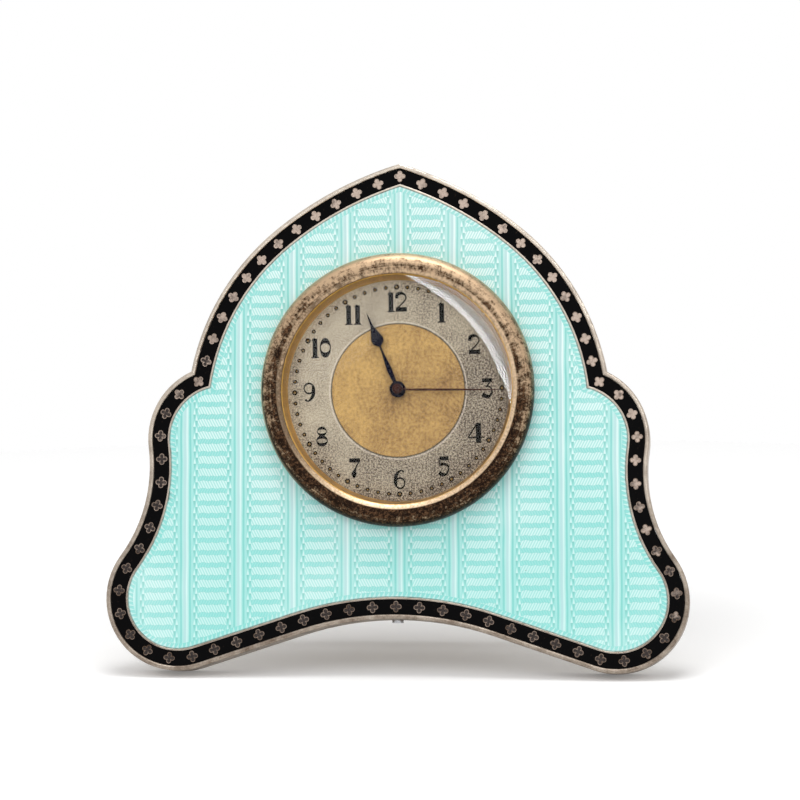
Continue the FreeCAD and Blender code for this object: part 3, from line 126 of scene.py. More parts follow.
class ClockColours(bpy.types.PropertyGroup):
    """Colours of the clock's finishes."""

    enamel: shade("Enamel", "Turquoise enamel over plain metal", 138, 219, 212)
    # Also the colour of the painted highlight along the pillars' crests.
    enamel_light: shade("Enamel light", "Enamel over the bright cuts", 240, 255, 253)
    # Painted shade: the enamel beside a pillar's crest, on its shaded side.
    enamel_grey: shade("Enamel grey", "Enamel over the worn middle of a pillar", 186, 218, 222)
    enamel_dark: shade("Enamel dark", "Enamel over the shaded cuts", 104, 184, 176)
    black: shade("Black", "Black enamel of the border", 4, 4, 5)
    flower: shade("Flower", "Rose silver of the small flowers", 190, 171, 157)
    flower_dark: shade("Flower dark", "Darkened middle of a flower", 52, 47, 46)
    silver: shade("Silver", "Worn silver of the case", 224, 212, 197)
    silver_dark: shade("Silver dark", "Tarnish on the silver", 92, 74, 60)
    back: shade("Back", "Cleaner silver of the back and the strut", 204, 196, 184)
    patina: shade("Patina", "Rose beige of the bezel", 190, 162, 131)
    patina_dark: shade("Patina dark", "Brown tarnish of the bezel", 34, 24, 18)
    rust: shade("Rust", "Lighter brown in the bezel's tarnish", 104, 76, 54)
    # Also the colour of the painted highlight on the bezel's lip and rim.
    rubbed: shade("Rubbed", "Gilt rubbed bright on the bezel's edges", 234, 206, 172)
    gilt: shade("Gilt", "Gilt metal", 188, 152, 88)
    gilt_dark: shade("Gilt dark", "Darker gilt", 116, 84, 46)
    ring: shade("Ring", "Gilt of the ring inside the bezel", 240, 192, 100)
    ring_dark: shade("Ring dark", "Darker gilt of that ring", 178, 130, 62)
    dial: shade("Dial", "Grained silver of the dial", 188, 176, 153)
    dial_dark: shade("Dial dark", "Dark grain of the dial", 66, 53, 43)
    dot: shade("Dot", "Olive middle of a minute dot", 116, 100, 68)
    ink: shade("Ink", "Numerals and dots", 9, 7, 6)
    blued: shade("Blued", "Blued steel of the hands", 8, 8, 26)
    # Painted reflection: the blued steel of the minute hand, warm where it reflects warm light.
    browned: shade("Browned", "Blued steel with painted warm reflection of the minute hand", 66, 38, 32)
    steel: shade("Steel", "Polished steel", 196, 198, 202)
    brass: shade("Brass", "Movement brass", 204, 172, 104)
    nickel: shade("Nickel", "Nickel of the key and knob", 198, 192, 182)


def sizes():
    return bpy.context.scene.clock_sizes


def colours():
    return bpy.context.scene.clock_colours


def linear(colour):
    """A screen colour as the linear colour that a shader takes."""
    parts = [((part + 0.055) / 1.055) ** 2.4 if part > 0.04045 else part / 12.92 for part in colour]
    return (*parts, 1.0)


def mm(size):
    return size * 1000


# Places


def drive(name):
    """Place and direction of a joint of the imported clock."""
    found = next(joint for joint in frame["joints"] if joint["name"] == name)
    return Vector(found["pos_m"]), Vector(found["axis"]).normalized()


def dial_face():
    """The dial's own axes: X to the right, Y up its face and Z out of it, from its centre."""
    place, inward = drive("set_hands")
    outward = -inward
    side = Vector((1, 0, 0))
    rise = outward.cross(side)
    turned = Matrix((side, rise, outward)).transposed().to_4x4()
    return Matrix.Translation(place + inward * -sizes().dial_depth) @ turned


def printed_face():
    """The dial's axes, turned as its numerals and dots are."""
    return dial_face() @ Matrix.Rotation(sizes().print_turn, 4, "Z")


# Node work


class Value:
    """What a node puts out. Arithmetic with it adds the nodes that work it out."""

    def __init__(self, socket):
        self.socket = socket
        self.tree = socket.id_data

    def __add__(self, other):
        return calc("ADD", self, other)

    def __sub__(self, other):
        return calc("SUBTRACT", self, other)

    def __rsub__(self, other):
        return calc("SUBTRACT", other, self)

    def __mul__(self, other):
        return calc("MULTIPLY", self, other)

    def __truediv__(self, other):
        return calc("DIVIDE", self, other)

    def __rtruediv__(self, other):
        return calc("DIVIDE", other, self)

    def __abs__(self):
        return calc("ABSOLUTE", self)


class Outputs:
    """The values that a node puts out, by name or number."""

    def __init__(self, node):
        self.node = node

    def __getitem__(self, key):
        return Value(self.node.outputs[key])


def feed(socket, value):
    """Links a value to a socket, or sets the socket's own plain value."""
    if isinstance(value, Value):
        value.tree.links.new(value.socket, socket)
    else:
        socket.default_value = value


def put(tree, kind, inputs=None, **settings):
    """Adds a node with its settings and what goes into it."""
    node = tree.nodes.new(kind)
    for name, value in settings.items():
        setattr(node, name, value)
    for key, value in (inputs or {}).items():
        feed(node.inputs[key], value)
    return Outputs(node)


def calc(operation, *values):
    """One step of arithmetic."""
    tree = next(value.tree for value in values if isinstance(value, Value))
    return put(tree, "ShaderNodeMath", dict(enumerate(values)), operation=operation)[0]


def clamped(value):
    """Keeps the last step of arithmetic between 0 and 1."""
    value.socket.node.use_clamp = True
    return value


def fade(value, start, end):
    """0 up to start and 1 from end on; start may be the larger."""
    return put(value.tree, "ShaderNodeMapRange", {"Value": value, "From Min": start, "From Max": end})["Result"]


def spread(value, low, high):
    """Stretches 0 to 1 over low to high."""
    return put(value.tree, "ShaderNodeMapRange", {"Value": value, "To Min": low, "To Max": high})["Result"]


# Sockets of a Mix node that mixes colours
MIX_LOW, MIX_HIGH, MIX_RESULT = 6, 7, 2


def blend(mask, low, high):
    """The low colour, and the high one where the mask is 1; each is a value or a screen colour."""
    inputs = {"Factor": mask}
    for number, colour in ((MIX_LOW, low), (MIX_HIGH, high)):
        inputs[number] = colour if isinstance(colour, Value) else linear(colour)
    return put(mask.tree, "ShaderNodeMix", inputs, data_type="RGBA")[MIX_RESULT]


def noise(place, size, detail=4.0, rough=0.6):
    """Cloudy noise whose lumps are about size millimetres wide."""
    inputs = {"Vector": place, "Scale": 1 / size, "Detail": detail, "Roughness": rough}
    return put(place.tree, "ShaderNodeTexNoise", inputs)["Fac"]


def parts_of(place):
    return put(place.tree, "ShaderNodeSeparateXYZ", {"Vector": place})


def joined(x, y, z):
    return put(x.tree, "ShaderNodeCombineXYZ", {"X": x, "Y": y, "Z": z})["Vector"]


def effect(name, inputs, outputs):
    """An empty node group with named inputs and outputs."""
    group = bpy.data.node_groups.new(name, "ShaderNodeTree")
    for label, kind, value in inputs:
        socket = group.interface.new_socket(label, in_out="INPUT", socket_type=kind)
        if value is not None:
            socket.default_value = value
    for label, kind in outputs:
        group.interface.new_socket(label, in_out="OUTPUT", socket_type=kind)
    return put(group, "NodeGroupInput"), group.nodes.new("NodeGroupOutput").inputs


def use(name, place, **inputs):
    """Places an effect in a material with its own values, and makes the effect first if it is new."""
    if name not in bpy.data.node_groups:
        EFFECTS[name]()
    given = {key.replace("_", " ").capitalize(): value for key, value in inputs.items()}
    return put(place.tree, "ShaderNodeGroup", {"Place": place, **given}, node_tree=bpy.data.node_groups[name])


NUMBER = "NodeSocketFloat"
PLACE = "NodeSocketVector"


def make_tarnish():
    """Blotches with a ragged edge, 0 to 1."""
    inputs = (("Place", PLACE, None), ("Size", NUMBER, 4.0), ("Amount", NUMBER, 0.5), ("Softness", NUMBER, 0.2))
    given, out = effect("Tarnish", inputs, (("Mask", NUMBER),))
    edge = 1.0 - given["Amount"]
    level = spread(noise(given["Place"], given["Size"], 7.0, 0.68), -0.75, 1.75)
    low = edge - given["Softness"]
    high = edge + given["Softness"]
    feed(out["Mask"], fade(level, low, high))


def make_edge_wear():
    """1 where an edge is rubbed bright, broken up by noise."""
    inputs = (("Place", PLACE, None), ("Reach", NUMBER, 0.0002), ("Amount", NUMBER, 1.0))
    given, out = effect("Edge wear", inputs, (("Mask", NUMBER),))
    tree = given["Place"].tree
    rounded = put(tree, "ShaderNodeBevel", {"Radius": given["Reach"]}, samples=4)["Normal"]
    flat = put(tree, "ShaderNodeNewGeometry")["Normal"]
    alike = put(tree, "ShaderNodeVectorMath", {0: rounded, 1: flat}, operation="DOT_PRODUCT")["Value"]
    bent = fade(alike, 0.995, 0.9)
    broken = spread(noise(given["Place"], 0.5), 0.3, 1.3)
    feed(out["Mask"], clamped(bent * broken * given["Amount"]))


def make_scratches():
    """Fine scratches in two directions and small pits, as a height and a mask."""
    inputs = (("Place", PLACE, None), ("Density", NUMBER, 1.0))
    given, out = effect("Scratches", inputs, (("Height", NUMBER), ("Mask", NUMBER)))
    cuts = []
    for rotation, scale in (((0.0, 0.4, 0.3), (0.3, 4.0, 7.0)), ((0.2, -0.9, 0.1), (6.0, 3.0, 0.4))):
        inputs = {"Vector": given["Place"], "Rotation": rotation, "Scale": scale}
        turned = put(given["Place"].tree, "ShaderNodeMapping", inputs)["Vector"]
        cuts.append(fade(noise(turned, 1.0, 2.0), 0.66, 0.74))
    pits = fade(noise(given["Place"], 0.25, 2.0), 0.7, 0.78)
    marks = clamped(calc("MAXIMUM", calc("MAXIMUM", *cuts), pits) * given["Density"])
    feed(out["Mask"], marks)
    feed(out["Height"], 1.0 - marks)


def make_speckle():
    """Small sharp grains, light and dark, 0 to 1."""
    inputs = (("Place", PLACE, None), ("Size", NUMBER, 0.4), ("Contrast", NUMBER, 1.0))
    given, out = effect("Speckle", inputs, (("Value", NUMBER),))
    centred = noise(given["Place"], given["Size"], 3.0, 0.75) - 0.5
    feed(out["Value"], clamped(centred * (given["Contrast"] * 3.0) + 0.5))


def make_rings():
    """The distance from the dial's centre, and places that run along the rings and along the rays."""
    outputs = (("Radius", NUMBER), ("Along", PLACE), ("Outward", PLACE))
    given, out = effect("Rings", (("Place", PLACE, None),), outputs)
    part = parts_of(given["Place"])
    radius = calc("SQRT", part["X"] * part["X"] + part["Z"] * part["Z"])
    turn = calc("ARCTAN2", part["X"], part["Z"])
    circle = (calc("SINE", turn), calc("COSINE", turn))
    feed(out["Radius"], radius)
    for label, round_scale, out_scale in (("Along", 3.0, 6.0), ("Outward", 60.0, 0.6)):
        x, y = (part * round_scale for part in circle)
        feed(out[label], joined(x, y, radius * out_scale))


# Borders of the engine turning, in millimetres from the middle of a pillar
PILLAR_SIDE = (0.56, 0.66)
GROOVE_SIDE = (0.9, 0.98)
LINES_SIDE = (1.28, 1.36)
CHAIN_START = (1.28, 1.34)
CHAIN_MIDDLE = 1.71
CHAIN_SIDE = (2.08, 2.14)
ROWS_START = (2.08, 2.18)
STRAND_PLACE = 1.515
STRAND_PITCH = 0.39


def ripple(value, half):
    """Rises from 0 to 1 and falls again, each over half a pitch."""
    return calc("PINGPONG", value, half) / half


def band(value, start, end):
    """1 between two borders, each given as where it begins and where it ends."""
    return fade(value, *start) * fade(value, *reversed(end))


def make_engine_turning():
    """Cuts of the engraved ground: pillars, twisted chains and hatched rows, mirrored about the middle. Each
    pillar carries a painted highlight along its crest and a painted shade beside it.
    """
    inputs = (
        ("Place", PLACE, None), ("Pillar pitch", NUMBER, 9.25), ("Row pitch", NUMBER, 2.13),
        ("Hatch pitch", NUMBER, 0.47),
    )
    outputs = (("Light", NUMBER), ("Dark", NUMBER), ("Grey", NUMBER), ("Height", NUMBER))
    given, out = effect("Engine turning", inputs, outputs)
    part = parts_of(given["Place"])
    wander = (noise(given["Place"], 9.0, 1.0) - 0.5) * 0.25
    across = part["X"] + wander
    half_pitch = given["Pillar pitch"] * 0.5
    offset = calc("WRAP", across, half_pitch, half_pitch * -1.0)
    away = abs(offset)
    half_row = given["Row pitch"] * 0.5
    half_hatch = given["Hatch pitch"] * 0.5

    pillar = fade(away, *reversed(PILLAR_SIDE))
    # Painted shade beside the pillar's crest and a painted highlight along it, as if lit from one side.
    grey = fade(abs(offset + 0.1), 0.3, 0.1) * 0.55
    crest = fade(abs(offset - 0.24), 0.2, 0.06)
    pillar_highlight = pillar * spread(crest, 0.5, 1.0)
    groove = band(away, PILLAR_SIDE, GROOVE_SIDE)
    groove_dark = groove * spread(ripple(away, 0.085), 0.05, 0.45)
    lines = band(away, GROOVE_SIDE, LINES_SIDE)
    lines_light = lines * spread(ripple(away, 0.1), 0.15, 0.5)

    chain = band(away, CHAIN_START, CHAIN_SIDE)
    outer = calc("GREATER_THAN", away, CHAIN_MIDDLE)
    side = abs(away - (outer * STRAND_PITCH + STRAND_PLACE))
    rung = part["Z"] / given["Row pitch"]
    climb = calc("FRACT", rung + outer * 0.5 - 0.19)
    taper = (0.5 - climb) * 0.44
    chain_light = fade(taper - side, -0.03, 0.05)
    chain_dark = fade(taper * -1.0 - side, -0.03, 0.05)

    rows = fade(away, *ROWS_START)
    bend = calc("SINE", away * 3.6) * 0.07
    row_light = fade(ripple(part["Z"] + bend, half_row), 0.33, 0.43)
    between = 1.0 - row_light
    slope = part["Z"] * 0.5
    hatch = ripple(abs(across) - slope, half_hatch)
    faint = ripple(abs(across) + slope, half_hatch)
    row_cut = row_light * spread(fade(hatch, 0.2, 0.8), 0.3, 1.0)
    plain_cut = between * fade(faint, 0.3, 0.9) * 0.25

    # Light includes the pillars' painted highlight.
    light = pillar_highlight + lines_light + chain * (chain_light * 0.8 + 0.14) + rows * (row_cut + plain_cut)
    dark = groove_dark + rows * row_light * between * 1.4 + chain * chain_dark * 0.62
    height = pillar * (1.0 - away) + rows * hatch * 0.3 + chain * chain_light * 0.4
    for label, value in (("Light", light), ("Dark", dark), ("Grey", grey), ("Height", height)):
        feed(out[label], calc("MINIMUM", value, 1.0))


EFFECTS = {
    "Tarnish": make_tarnish,
    "Edge wear": make_edge_wear,
    "Scratches": make_scratches,
    "Speckle": make_speckle,
    "Rings": make_rings,
    "Engine turning": make_engine_turning,
}


def give(shader, **inputs):
    """Feeds or sets a shader's inputs, whose names are written as in base_color."""
    for key, value in inputs.items():
        feed(shader.inputs[key.replace("_", " ").title().replace("Ior", "IOR")], value)


def finish_of(name, **settings):
    """A new material, its shader and its millimetre place from the dial's centre."""
    material = bpy.data.materials.new(name)
    material.use_nodes = True
    shader = material.node_tree.nodes["Principled BSDF"]
    give(shader, **settings)
    face = dial_face()
    tilt = math.pi / 2 - face.to_euler().x
    turned = Matrix.Rotation(tilt, 4, "X") @ face.translation
    inputs = {
        "Vector": put(material.node_tree, "ShaderNodeTexCoord")["Object"],
        "Location": tuple(-mm(part) for part in turned), "Rotation": (tilt, 0.0, 0.0), "Scale": (mm(1.0),) * 3,
    }
    return material, shader, put(material.node_tree, "ShaderNodeMapping", inputs)["Vector"]


def emboss(shader, height, distance, strength=1.0, soften=0.0):
    """Gives a material relief, distance in millimetres, over edges softened by so many millimetres."""
    inputs = {"Height": height, "Distance": distance / 1000, "Strength": strength}
    if soften:
        inputs["Normal"] = put(height.tree, "ShaderNodeBevel", {"Radius": soften / 1000}, samples=6)["Normal"]
    give(shader, normal=put(height.tree, "ShaderNodeBump", inputs)["Normal"])


def metal(
    name, bright, dark, roughness=0.3, blotch=6.0, tarnish=0.35, wear=1.0, speck=0.35, grain=0.004,
    stain=0.75, low=0.0,
):
    """Worn metal: tarnish in blotches, darkened low down by a painted shade, rubbed edges, specks and
    scratches.
    """
    material, shader, place = finish_of(name, metallic=1.0)
    blotches = use("Tarnish", place, size=blotch, amount=tarnish, softness=0.45)["Mask"]
    # Painted shade: darker low down, as an underside that mirrors a shaded floor.
    low_shade = fade(parts_of(place)["Z"], 25.0, -42.0) * low
    grains = use("Speckle", place, size=0.3, contrast=1.0)["Value"]
    marks = use("Scratches", place, density=0.7)
    rubbed = use("Edge wear", place, reach=0.00018, amount=wear)["Mask"]
    # Tarnish and specks, with the painted shade low down.
    darkening = blotches * stain + grains * speck + low_shade
    kept = clamped(darkening * (1.0 - rubbed))
    rough = spread(kept, roughness, roughness + 0.2) + marks["Mask"] * 0.08
    give(shader, base_color=blend(kept, bright, dark), roughness=rough)
    emboss(shader, marks["Height"] + grains * 0.5, grain, soften=0.25)
    return material


# Meshes

MERGE = 1e-6
FINE_MERGE = 1e-7
STRAIGHT_OUT = 0.999


def stand(name, data):
    """A new object in the scene."""
    made = bpy.data.objects.new(name, data)
    bpy.context.scene.collection.objects.link(made)
    return made


def solid(name, shape, materials):
    """Makes an object of a bmesh."""
    mesh = bpy.data.meshes.new(name)
    shape.to_mesh(mesh)
    shape.free()
    for material in materials:
        mesh.materials.append(material)
    return stand(name, mesh)


def piece(name, shape, materials, body):
    """Makes an object of a bmesh and lets it ride on a body of the clock."""
    made = solid(name, shape, materials)
    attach(made, body)
    return made


def copy_of(node):
    """The mesh of a CAD node as a bmesh, its doubles merged."""
    source = frame["nodes"][node]
    shape = bmesh.new()
    shape.from_mesh(source.data)
    shape.transform(source.matrix_world)
    bmesh.ops.remove_doubles(shape, verts=shape.verts, dist=MERGE)
    bmesh.ops.recalc_face_normals(shape, faces=shape.faces)
    return shape


def inset(shape, faces, width):
    """Cuts a strip of even width along the edge of a region, and gives the strip's faces."""
    made = bmesh.ops.inset_region(shape, faces=faces, thickness=width, use_even_offset=True, use_boundary=True)
    return made["faces"]


def front_faces(shape):
    """Faces that look straight out of the clock's front."""
    outward = -drive("set_hands")[1]
    faces = [face for face in shape.faces if face.normal.dot(outward) > STRAIGHT_OUT]
    if not faces:
        raise RuntimeError("no face looks out of the front")
    return faces


def paint(material, *nodes):
    """Gives CAD nodes their finish."""
    for node in nodes:
        target = frame["nodes"][node]
        if not target.material_slots:
            target.data.materials.append(material)
        for place in target.material_slots:
            place.material = material


def run_of(edges):
    """Walks boundary edges: for each edge the distance at its start and its end, by vertex."""
    beside = {}
    for edge in edges:
        for vert in edge.verts:
            beside.setdefault(vert, []).append(edge)
    left = dict.fromkeys(edges)
    marks = {}
    while left:
        edge = next(iter(left))
        del left[edge]
        at = 0.0
        here = edge.verts[0]
        while edge is not None:
            there = edge.other_vert(here)
            marks[edge] = {here: at, there: at + edge.calc_length()}
            at += edge.calc_length()
            here = there
            edge = next((other for other in beside[here] if other in left), None)
            left.pop(edge, None)
    return marks


def lay_ticks(shape, strip, wide):
    """Runs a UV map along the strip: U round the outline and V across, both in millimetres."""
    layer = shape.loops.layers.uv.new("Ticks")
    ring = set(strip)
    marks = run_of([
        edge for face in strip for edge in face.edges
        if any(other not in ring and other not in wide for other in edge.link_faces)
    ])
    for face in strip:
        found = [edge for edge in face.edges if edge in marks]
        if not found:
            continue
        start = marks[found[0]]
        for loop in face.loops:
            if loop.vert in start:
                loop[layer].uv = (mm(start[loop.vert]), 0.0)
            else:
                ends = (edge.other_vert(loop.vert) for edge in loop.vert.link_edges)
                near = next((vert for vert in ends if vert in start), None)
                if near is not None:
                    loop[layer].uv = (mm(start[near]), mm(sizes().edge_ticks))


# Numerals on a height of 1. A line or a curve runs through points (across, up, width). A ring is across, up,
# wide, tall, and its hole's width and height.

NUMERALS = {
    "0": [("ring", 0, 0, 0.56, 1.0, 0.46, 0.46)],
    "1": [
        ("line", (0.02, 0.47, 0.24), (0.02, -0.5, 0.24)), ("line", (-0.16, 0.36, 0.03), (0.02, 0.5, 0.1)),
        ("line", (-0.17, -0.48, 0.068), (0.21, -0.48, 0.068)),
    ],
    "2": [
        ("curve", (-0.22, 0.17, 0.17), (-0.2, 0.36, 0.17), (0.0, 0.43, 0.16), (0.21, 0.32, 0.075),
         (0.21, 0.1, 0.068), (0.0, -0.14, 0.068), (-0.24, -0.36, 0.075)),
        ("line", (-0.28, -0.39, 0.22), (0.28, -0.39, 0.22)),
    ],
    "3": [
        ("line", (-0.25, 0.4, 0.2), (0.26, 0.4, 0.2)), ("line", (0.2, 0.36, 0.068), (-0.04, 0.08, 0.068)),
        ("curve", (-0.06, 0.08, 0.068), (0.12, 0.08, 0.075), (0.25, -0.12, 0.08), (0.16, -0.36, 0.12),
         (-0.04, -0.41, 0.2), (-0.24, -0.3, 0.2)),
    ],
    "4": [
        ("line", (0.13, 0.5, 0.26), (0.13, -0.5, 0.26)), ("line", (-0.4, -0.22, 0.068), (0.4, -0.22, 0.068)),
        ("line", (0.06, 0.48, 0.068), (-0.38, -0.2, 0.068)),
    ],
    "5": [
        ("line", (-0.2, 0.4, 0.2), (0.25, 0.4, 0.2)), ("line", (-0.18, 0.42, 0.068), (-0.2, 0.04, 0.068)),
        ("curve", (-0.2, 0.05, 0.068), (-0.02, 0.12, 0.15), (0.2, 0.02, 0.08), (0.24, -0.18, 0.075),
         (0.13, -0.38, 0.1), (-0.06, -0.42, 0.18), (-0.24, -0.3, 0.2)),
    ],
    "6": [
        ("ring", 0.03, -0.2, 0.54, 0.6, 0.4, 0.42),
        ("curve", (-0.17, -0.36, 0.1), (-0.2, -0.15, 0.18), (-0.18, 0.14, 0.17), (-0.05, 0.36, 0.12),
         (0.1, 0.44, 0.075), (0.22, 0.36, 0.12)),
    ],
    "7": [
        ("line", (-0.28, 0.4, 0.2), (0.27, 0.4, 0.2)),
        ("curve", (0.22, 0.34, 0.068), (0.06, 0.05, 0.075), (-0.02, -0.16, 0.16), (-0.04, -0.3, 0.26),
         (-0.04, -0.49, 0.075)),
    ],
    "8": [("ring", 0, 0.25, 0.48, 0.5, 0.42, 0.2), ("ring", 0, -0.22, 0.58, 0.56, 0.5, 0.22)],
    "9": [
        ("ring", -0.03, 0.2, 0.54, 0.6, 0.42, 0.42),
        ("curve", (0.17, 0.36, 0.1), (0.2, 0.15, 0.18), (0.18, -0.14, 0.17), (0.05, -0.36, 0.12),
         (-0.1, -0.44, 0.075), (-0.22, -0.36, 0.12)),
    ],
}
CURVE_STEPS = 7
RING_STEPS = 40
FIGURE_SPACE = 0.07
LAYER_STEP = 0.05


def smooth_path(points):
    """Points along a smooth curve through the given ones (across, up, width)."""
    ends = [points[0], *points, points[-1]]
    path = []
    for four in zip(ends, ends[1:], ends[2:], ends[3:]):
        for number in range(CURVE_STEPS):
            t = number / CURVE_STEPS
            path.append(tuple(
                b + ((c - a) * t + (2 * a - 5 * b + 4 * c - d) * t ** 2 + (3 * b - a - 3 * c + d) * t ** 3) / 2
                for a, b, c, d in zip(*four)
            ))
    return path + [points[-1]]


def stroke_outline(path):
    """The closed outline of a stroke of changing width."""
    left, right = [], []
    for number, (across, up, width) in enumerate(path):
        before, after = path[max(number - 1, 0)], path[min(number + 1, len(path) - 1)]
        run = Vector((after[0] - before[0], after[1] - before[1])).normalized() * width / 2
        left.append((across - run.y, up + run.x))
        right.append((across + run.y, up - run.x))
    return left + right[::-1]


def oval(across, up, wide, tall):
    steps = [2 * math.pi * number / RING_STEPS for number in range(RING_STEPS)]
    return [(across + wide / 2 * math.cos(turn), up + tall / 2 * math.sin(turn)) for turn in steps]


def add_outline(shape, outlines, place, thickness):
    """Fills flat outlines, gives them a thickness and adds them to the bmesh at a place."""
    drawn = bpy.data.curves.new("outline", "CURVE")
    drawn.dimensions = "2D"
    drawn.fill_mode = "BOTH"
    drawn.extrude = thickness / 2
    for outline in outlines:
        spline = drawn.splines.new("POLY")
        spline.points.add(len(outline) - 1)
        for point, (across, up) in zip(spline.points, outline):
            point.co = (across, up, 0.0, 1.0)
        spline.use_cyclic_u = True
    holder = bpy.data.objects.new("outline", drawn)
    mesh = bpy.data.meshes.new_from_object(holder)
    mesh.transform(place)
    shape.from_mesh(mesh)
    bpy.data.objects.remove(holder)
    bpy.data.curves.remove(drawn)
    bpy.data.meshes.remove(mesh)


def add_figure(shape, figure, place, height, thickness):
    """One figure, its strokes and rings a hair apart in depth."""
    for layer, (kind, *points) in enumerate(NUMERALS[figure]):
        if kind == "ring":
            across, up, wide, tall, hole_wide, hole_tall = points
            outlines = [oval(across, up, wide, tall), oval(across, up, hole_wide, hole_tall)]
        else:
            outlines = [stroke_outline(smooth_path(points) if kind == "curve" else points)]
        scaled = [[(x * height, y * height) for x, y in outline] for outline in outlines]
        lifted = place @ Matrix.Translation((0, 0, layer * thickness * LAYER_STEP))
        add_outline(shape, scaled, lifted, thickness)


def figure_width(figure):
    """Width of a figure on a height of 1."""
    reach = []
    for kind, *points in NUMERALS[figure]:
        if kind == "ring":
            reach += [points[0] - points[2] / 2, points[0] + points[2] / 2]
        else:
            reach += [point[0] for point in points]
    return max(reach) - min(reach)


class PieceOperator(bpy.types.Operator):
    """Base of the operators that add or finish pieces."""

    bl_options = {"REGISTER", "UNDO"}

    def work(self):
        raise NotImplementedError

    def execute(self, context):
        self.work()
        return {"FINISHED"}


class EnamelPanel(PieceOperator):
    """Adds the turquoise enamel over its engine-turned ground, with the row of ticks along its outline"""

    bl_idname = "clock.enamel_panel"
    bl_label = "Enamel panel"

    def work(self):
        shape = copy_of("enamel_panel")
        faces = front_faces(shape)
        strip = inset(shape, faces, sizes().edge_ticks)
        lay_ticks(shape, strip, set(faces))
        for face in strip:
            face.material_index = 1
        panel = piece("panel_enamel", shape, [self.ground(), self.ticks()], "case")
        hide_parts("enamel_panel")

    def glaze(self, name):
        return finish_of(name, roughness=0.22, coat_weight=0.5, coat_roughness=0.04, ior=1.5)

    def colour(self, shader, place, light, dark, over, tint):
        tone = colours()
        cloud = noise(place, 24.0, 3.0)
        up = parts_of(place)["Z"]
        # The enamel is paler in clouds and towards the top.
        level = up * 0.005 + spread(cloud, 0.5, 1.05)
        lit = clamped(light * level)
        body = blend(lit, tone.enamel, tone.enamel_light)
        body = blend(dark * 0.75, body, tone.enamel_dark)
        paler_clouds_and_top = fade(cloud, 0.5, 0.95) * 0.4 + fade(up, 5.0, 35.0) * 0.14
        body = blend(paler_clouds_and_top, body, tone.enamel_light)
        # The tint comes in where over is 1: painted shade beside the pillars on the ground, a dark line along
        # the outline on the ticks.
        body = blend(over, body, tint)
        specks = fade(noise(place, 0.45, 1.0), 0.83, 0.87)
        give(shader, base_color=blend(specks, body, tone.silver_dark))

    def ground(self):
        material, shader, place = self.glaze("Turquoise enamel")
        size = sizes()
        moved = (-mm(size.engraving_shift), 0.0, 0.0)
        turned = {"Vector": place, "Location": moved, "Rotation": (0.0, size.engraving_turn, 0.0)}
        engraved = put(place.tree, "ShaderNodeMapping", turned)["Vector"]
        cuts = use(
            "Engine turning", engraved, pillar_pitch=mm(size.pillar_pitch), row_pitch=mm(size.row_pitch),
            hatch_pitch=mm(size.hatch_pitch),
        )
        # The pillars' painted highlight comes in with Light, their painted shade with the pillar shade output.
        self.colour(shader, place, cuts["Light"], cuts["Dark"], cuts["Grey"], colours().enamel_grey)
        emboss(shader, cuts["Height"], 0.05, 0.5)
        return material

    def ticks(self):
        material, shader, place = self.glaze("Enamel edge ticks")
        along = put(place.tree, "ShaderNodeUVMap", uv_map="Ticks")["UV"]
        part = parts_of(along)
        half = mm(sizes().tick_pitch) / 2
        wave = ripple(part["X"] + part["Y"] * 0.35, half)
        across = part["Y"] / mm(sizes().edge_ticks)
        leaf = wave - across * 0.62 - 0.22
        broken = spread(noise(place, 0.7, 3.0, 0.7), -0.2, 1.35)
        curl = fade(leaf, -0.12, 0.12) * fade(across, 0.06, 0.16) * broken
        shadow = fade(abs(leaf), 0.14, 0.02) * 0.45
        smear = spread(noise(place, 0.9, 3.0), 0.1, 1.3)
        dirt = clamped(fade(part["Y"], 0.24, 0.08) * smear)
        self.colour(shader, place, curl, shadow, dirt, colours().silver_dark)
        emboss(shader, curl, 0.04, 0.5)
        return material


class BorderFlowers(PieceOperator):
    """Adds the small silver flowers of the border, each with a raised rim and a sunk middle"""

    bl_idname = "clock.border_flowers"
    bl_label = "Border flowers"

    def work(self):
        shape = copy_of("border_flowers")
        faces = front_faces(shape)
        inset(shape, faces, sizes().flower_rim)
        inward = drive("set_hands")[1]
        middle = {vert for face in faces for vert in face.verts}
        bmesh.ops.translate(shape, verts=list(middle), vec=inward * sizes().flower_sink)
        for face in faces:
            face.material_index = 1
        flowers = piece("flowers", shape, self.metals(), "case")
        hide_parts("border_flowers")

    def metals(self):
        tone = colours()
        # low adds a painted shade to the lower flowers' rims.
        rim = metal(
            "Flower rim", tone.flower, tone.silver_dark, roughness=0.28, blotch=3.0, tarnish=0.2, wear=0.0,
            speck=0.2, low=0.5,
        )
        material, shader, place = finish_of("Flower middle", metallic=1.0, roughness=0.42)
        part = parts_of(place)
        # The middles are darker towards the lower left, in clouds.
        low = part["X"] * -0.4 - part["Z"]
        worn = fade(noise(place, 1.6, 3.0) * 1.9 + fade(low, -10.0, 45.0) - 1.0, 0.0, 0.5)
        grains = use("Speckle", place, size=0.25, contrast=1.0)["Value"]
        mask = clamped((worn + grains * 0.35) * 0.85)
        give(shader, base_color=blend(mask, tone.flower, tone.flower_dark))
        emboss(shader, grains, 0.01)
        return [rim, material]


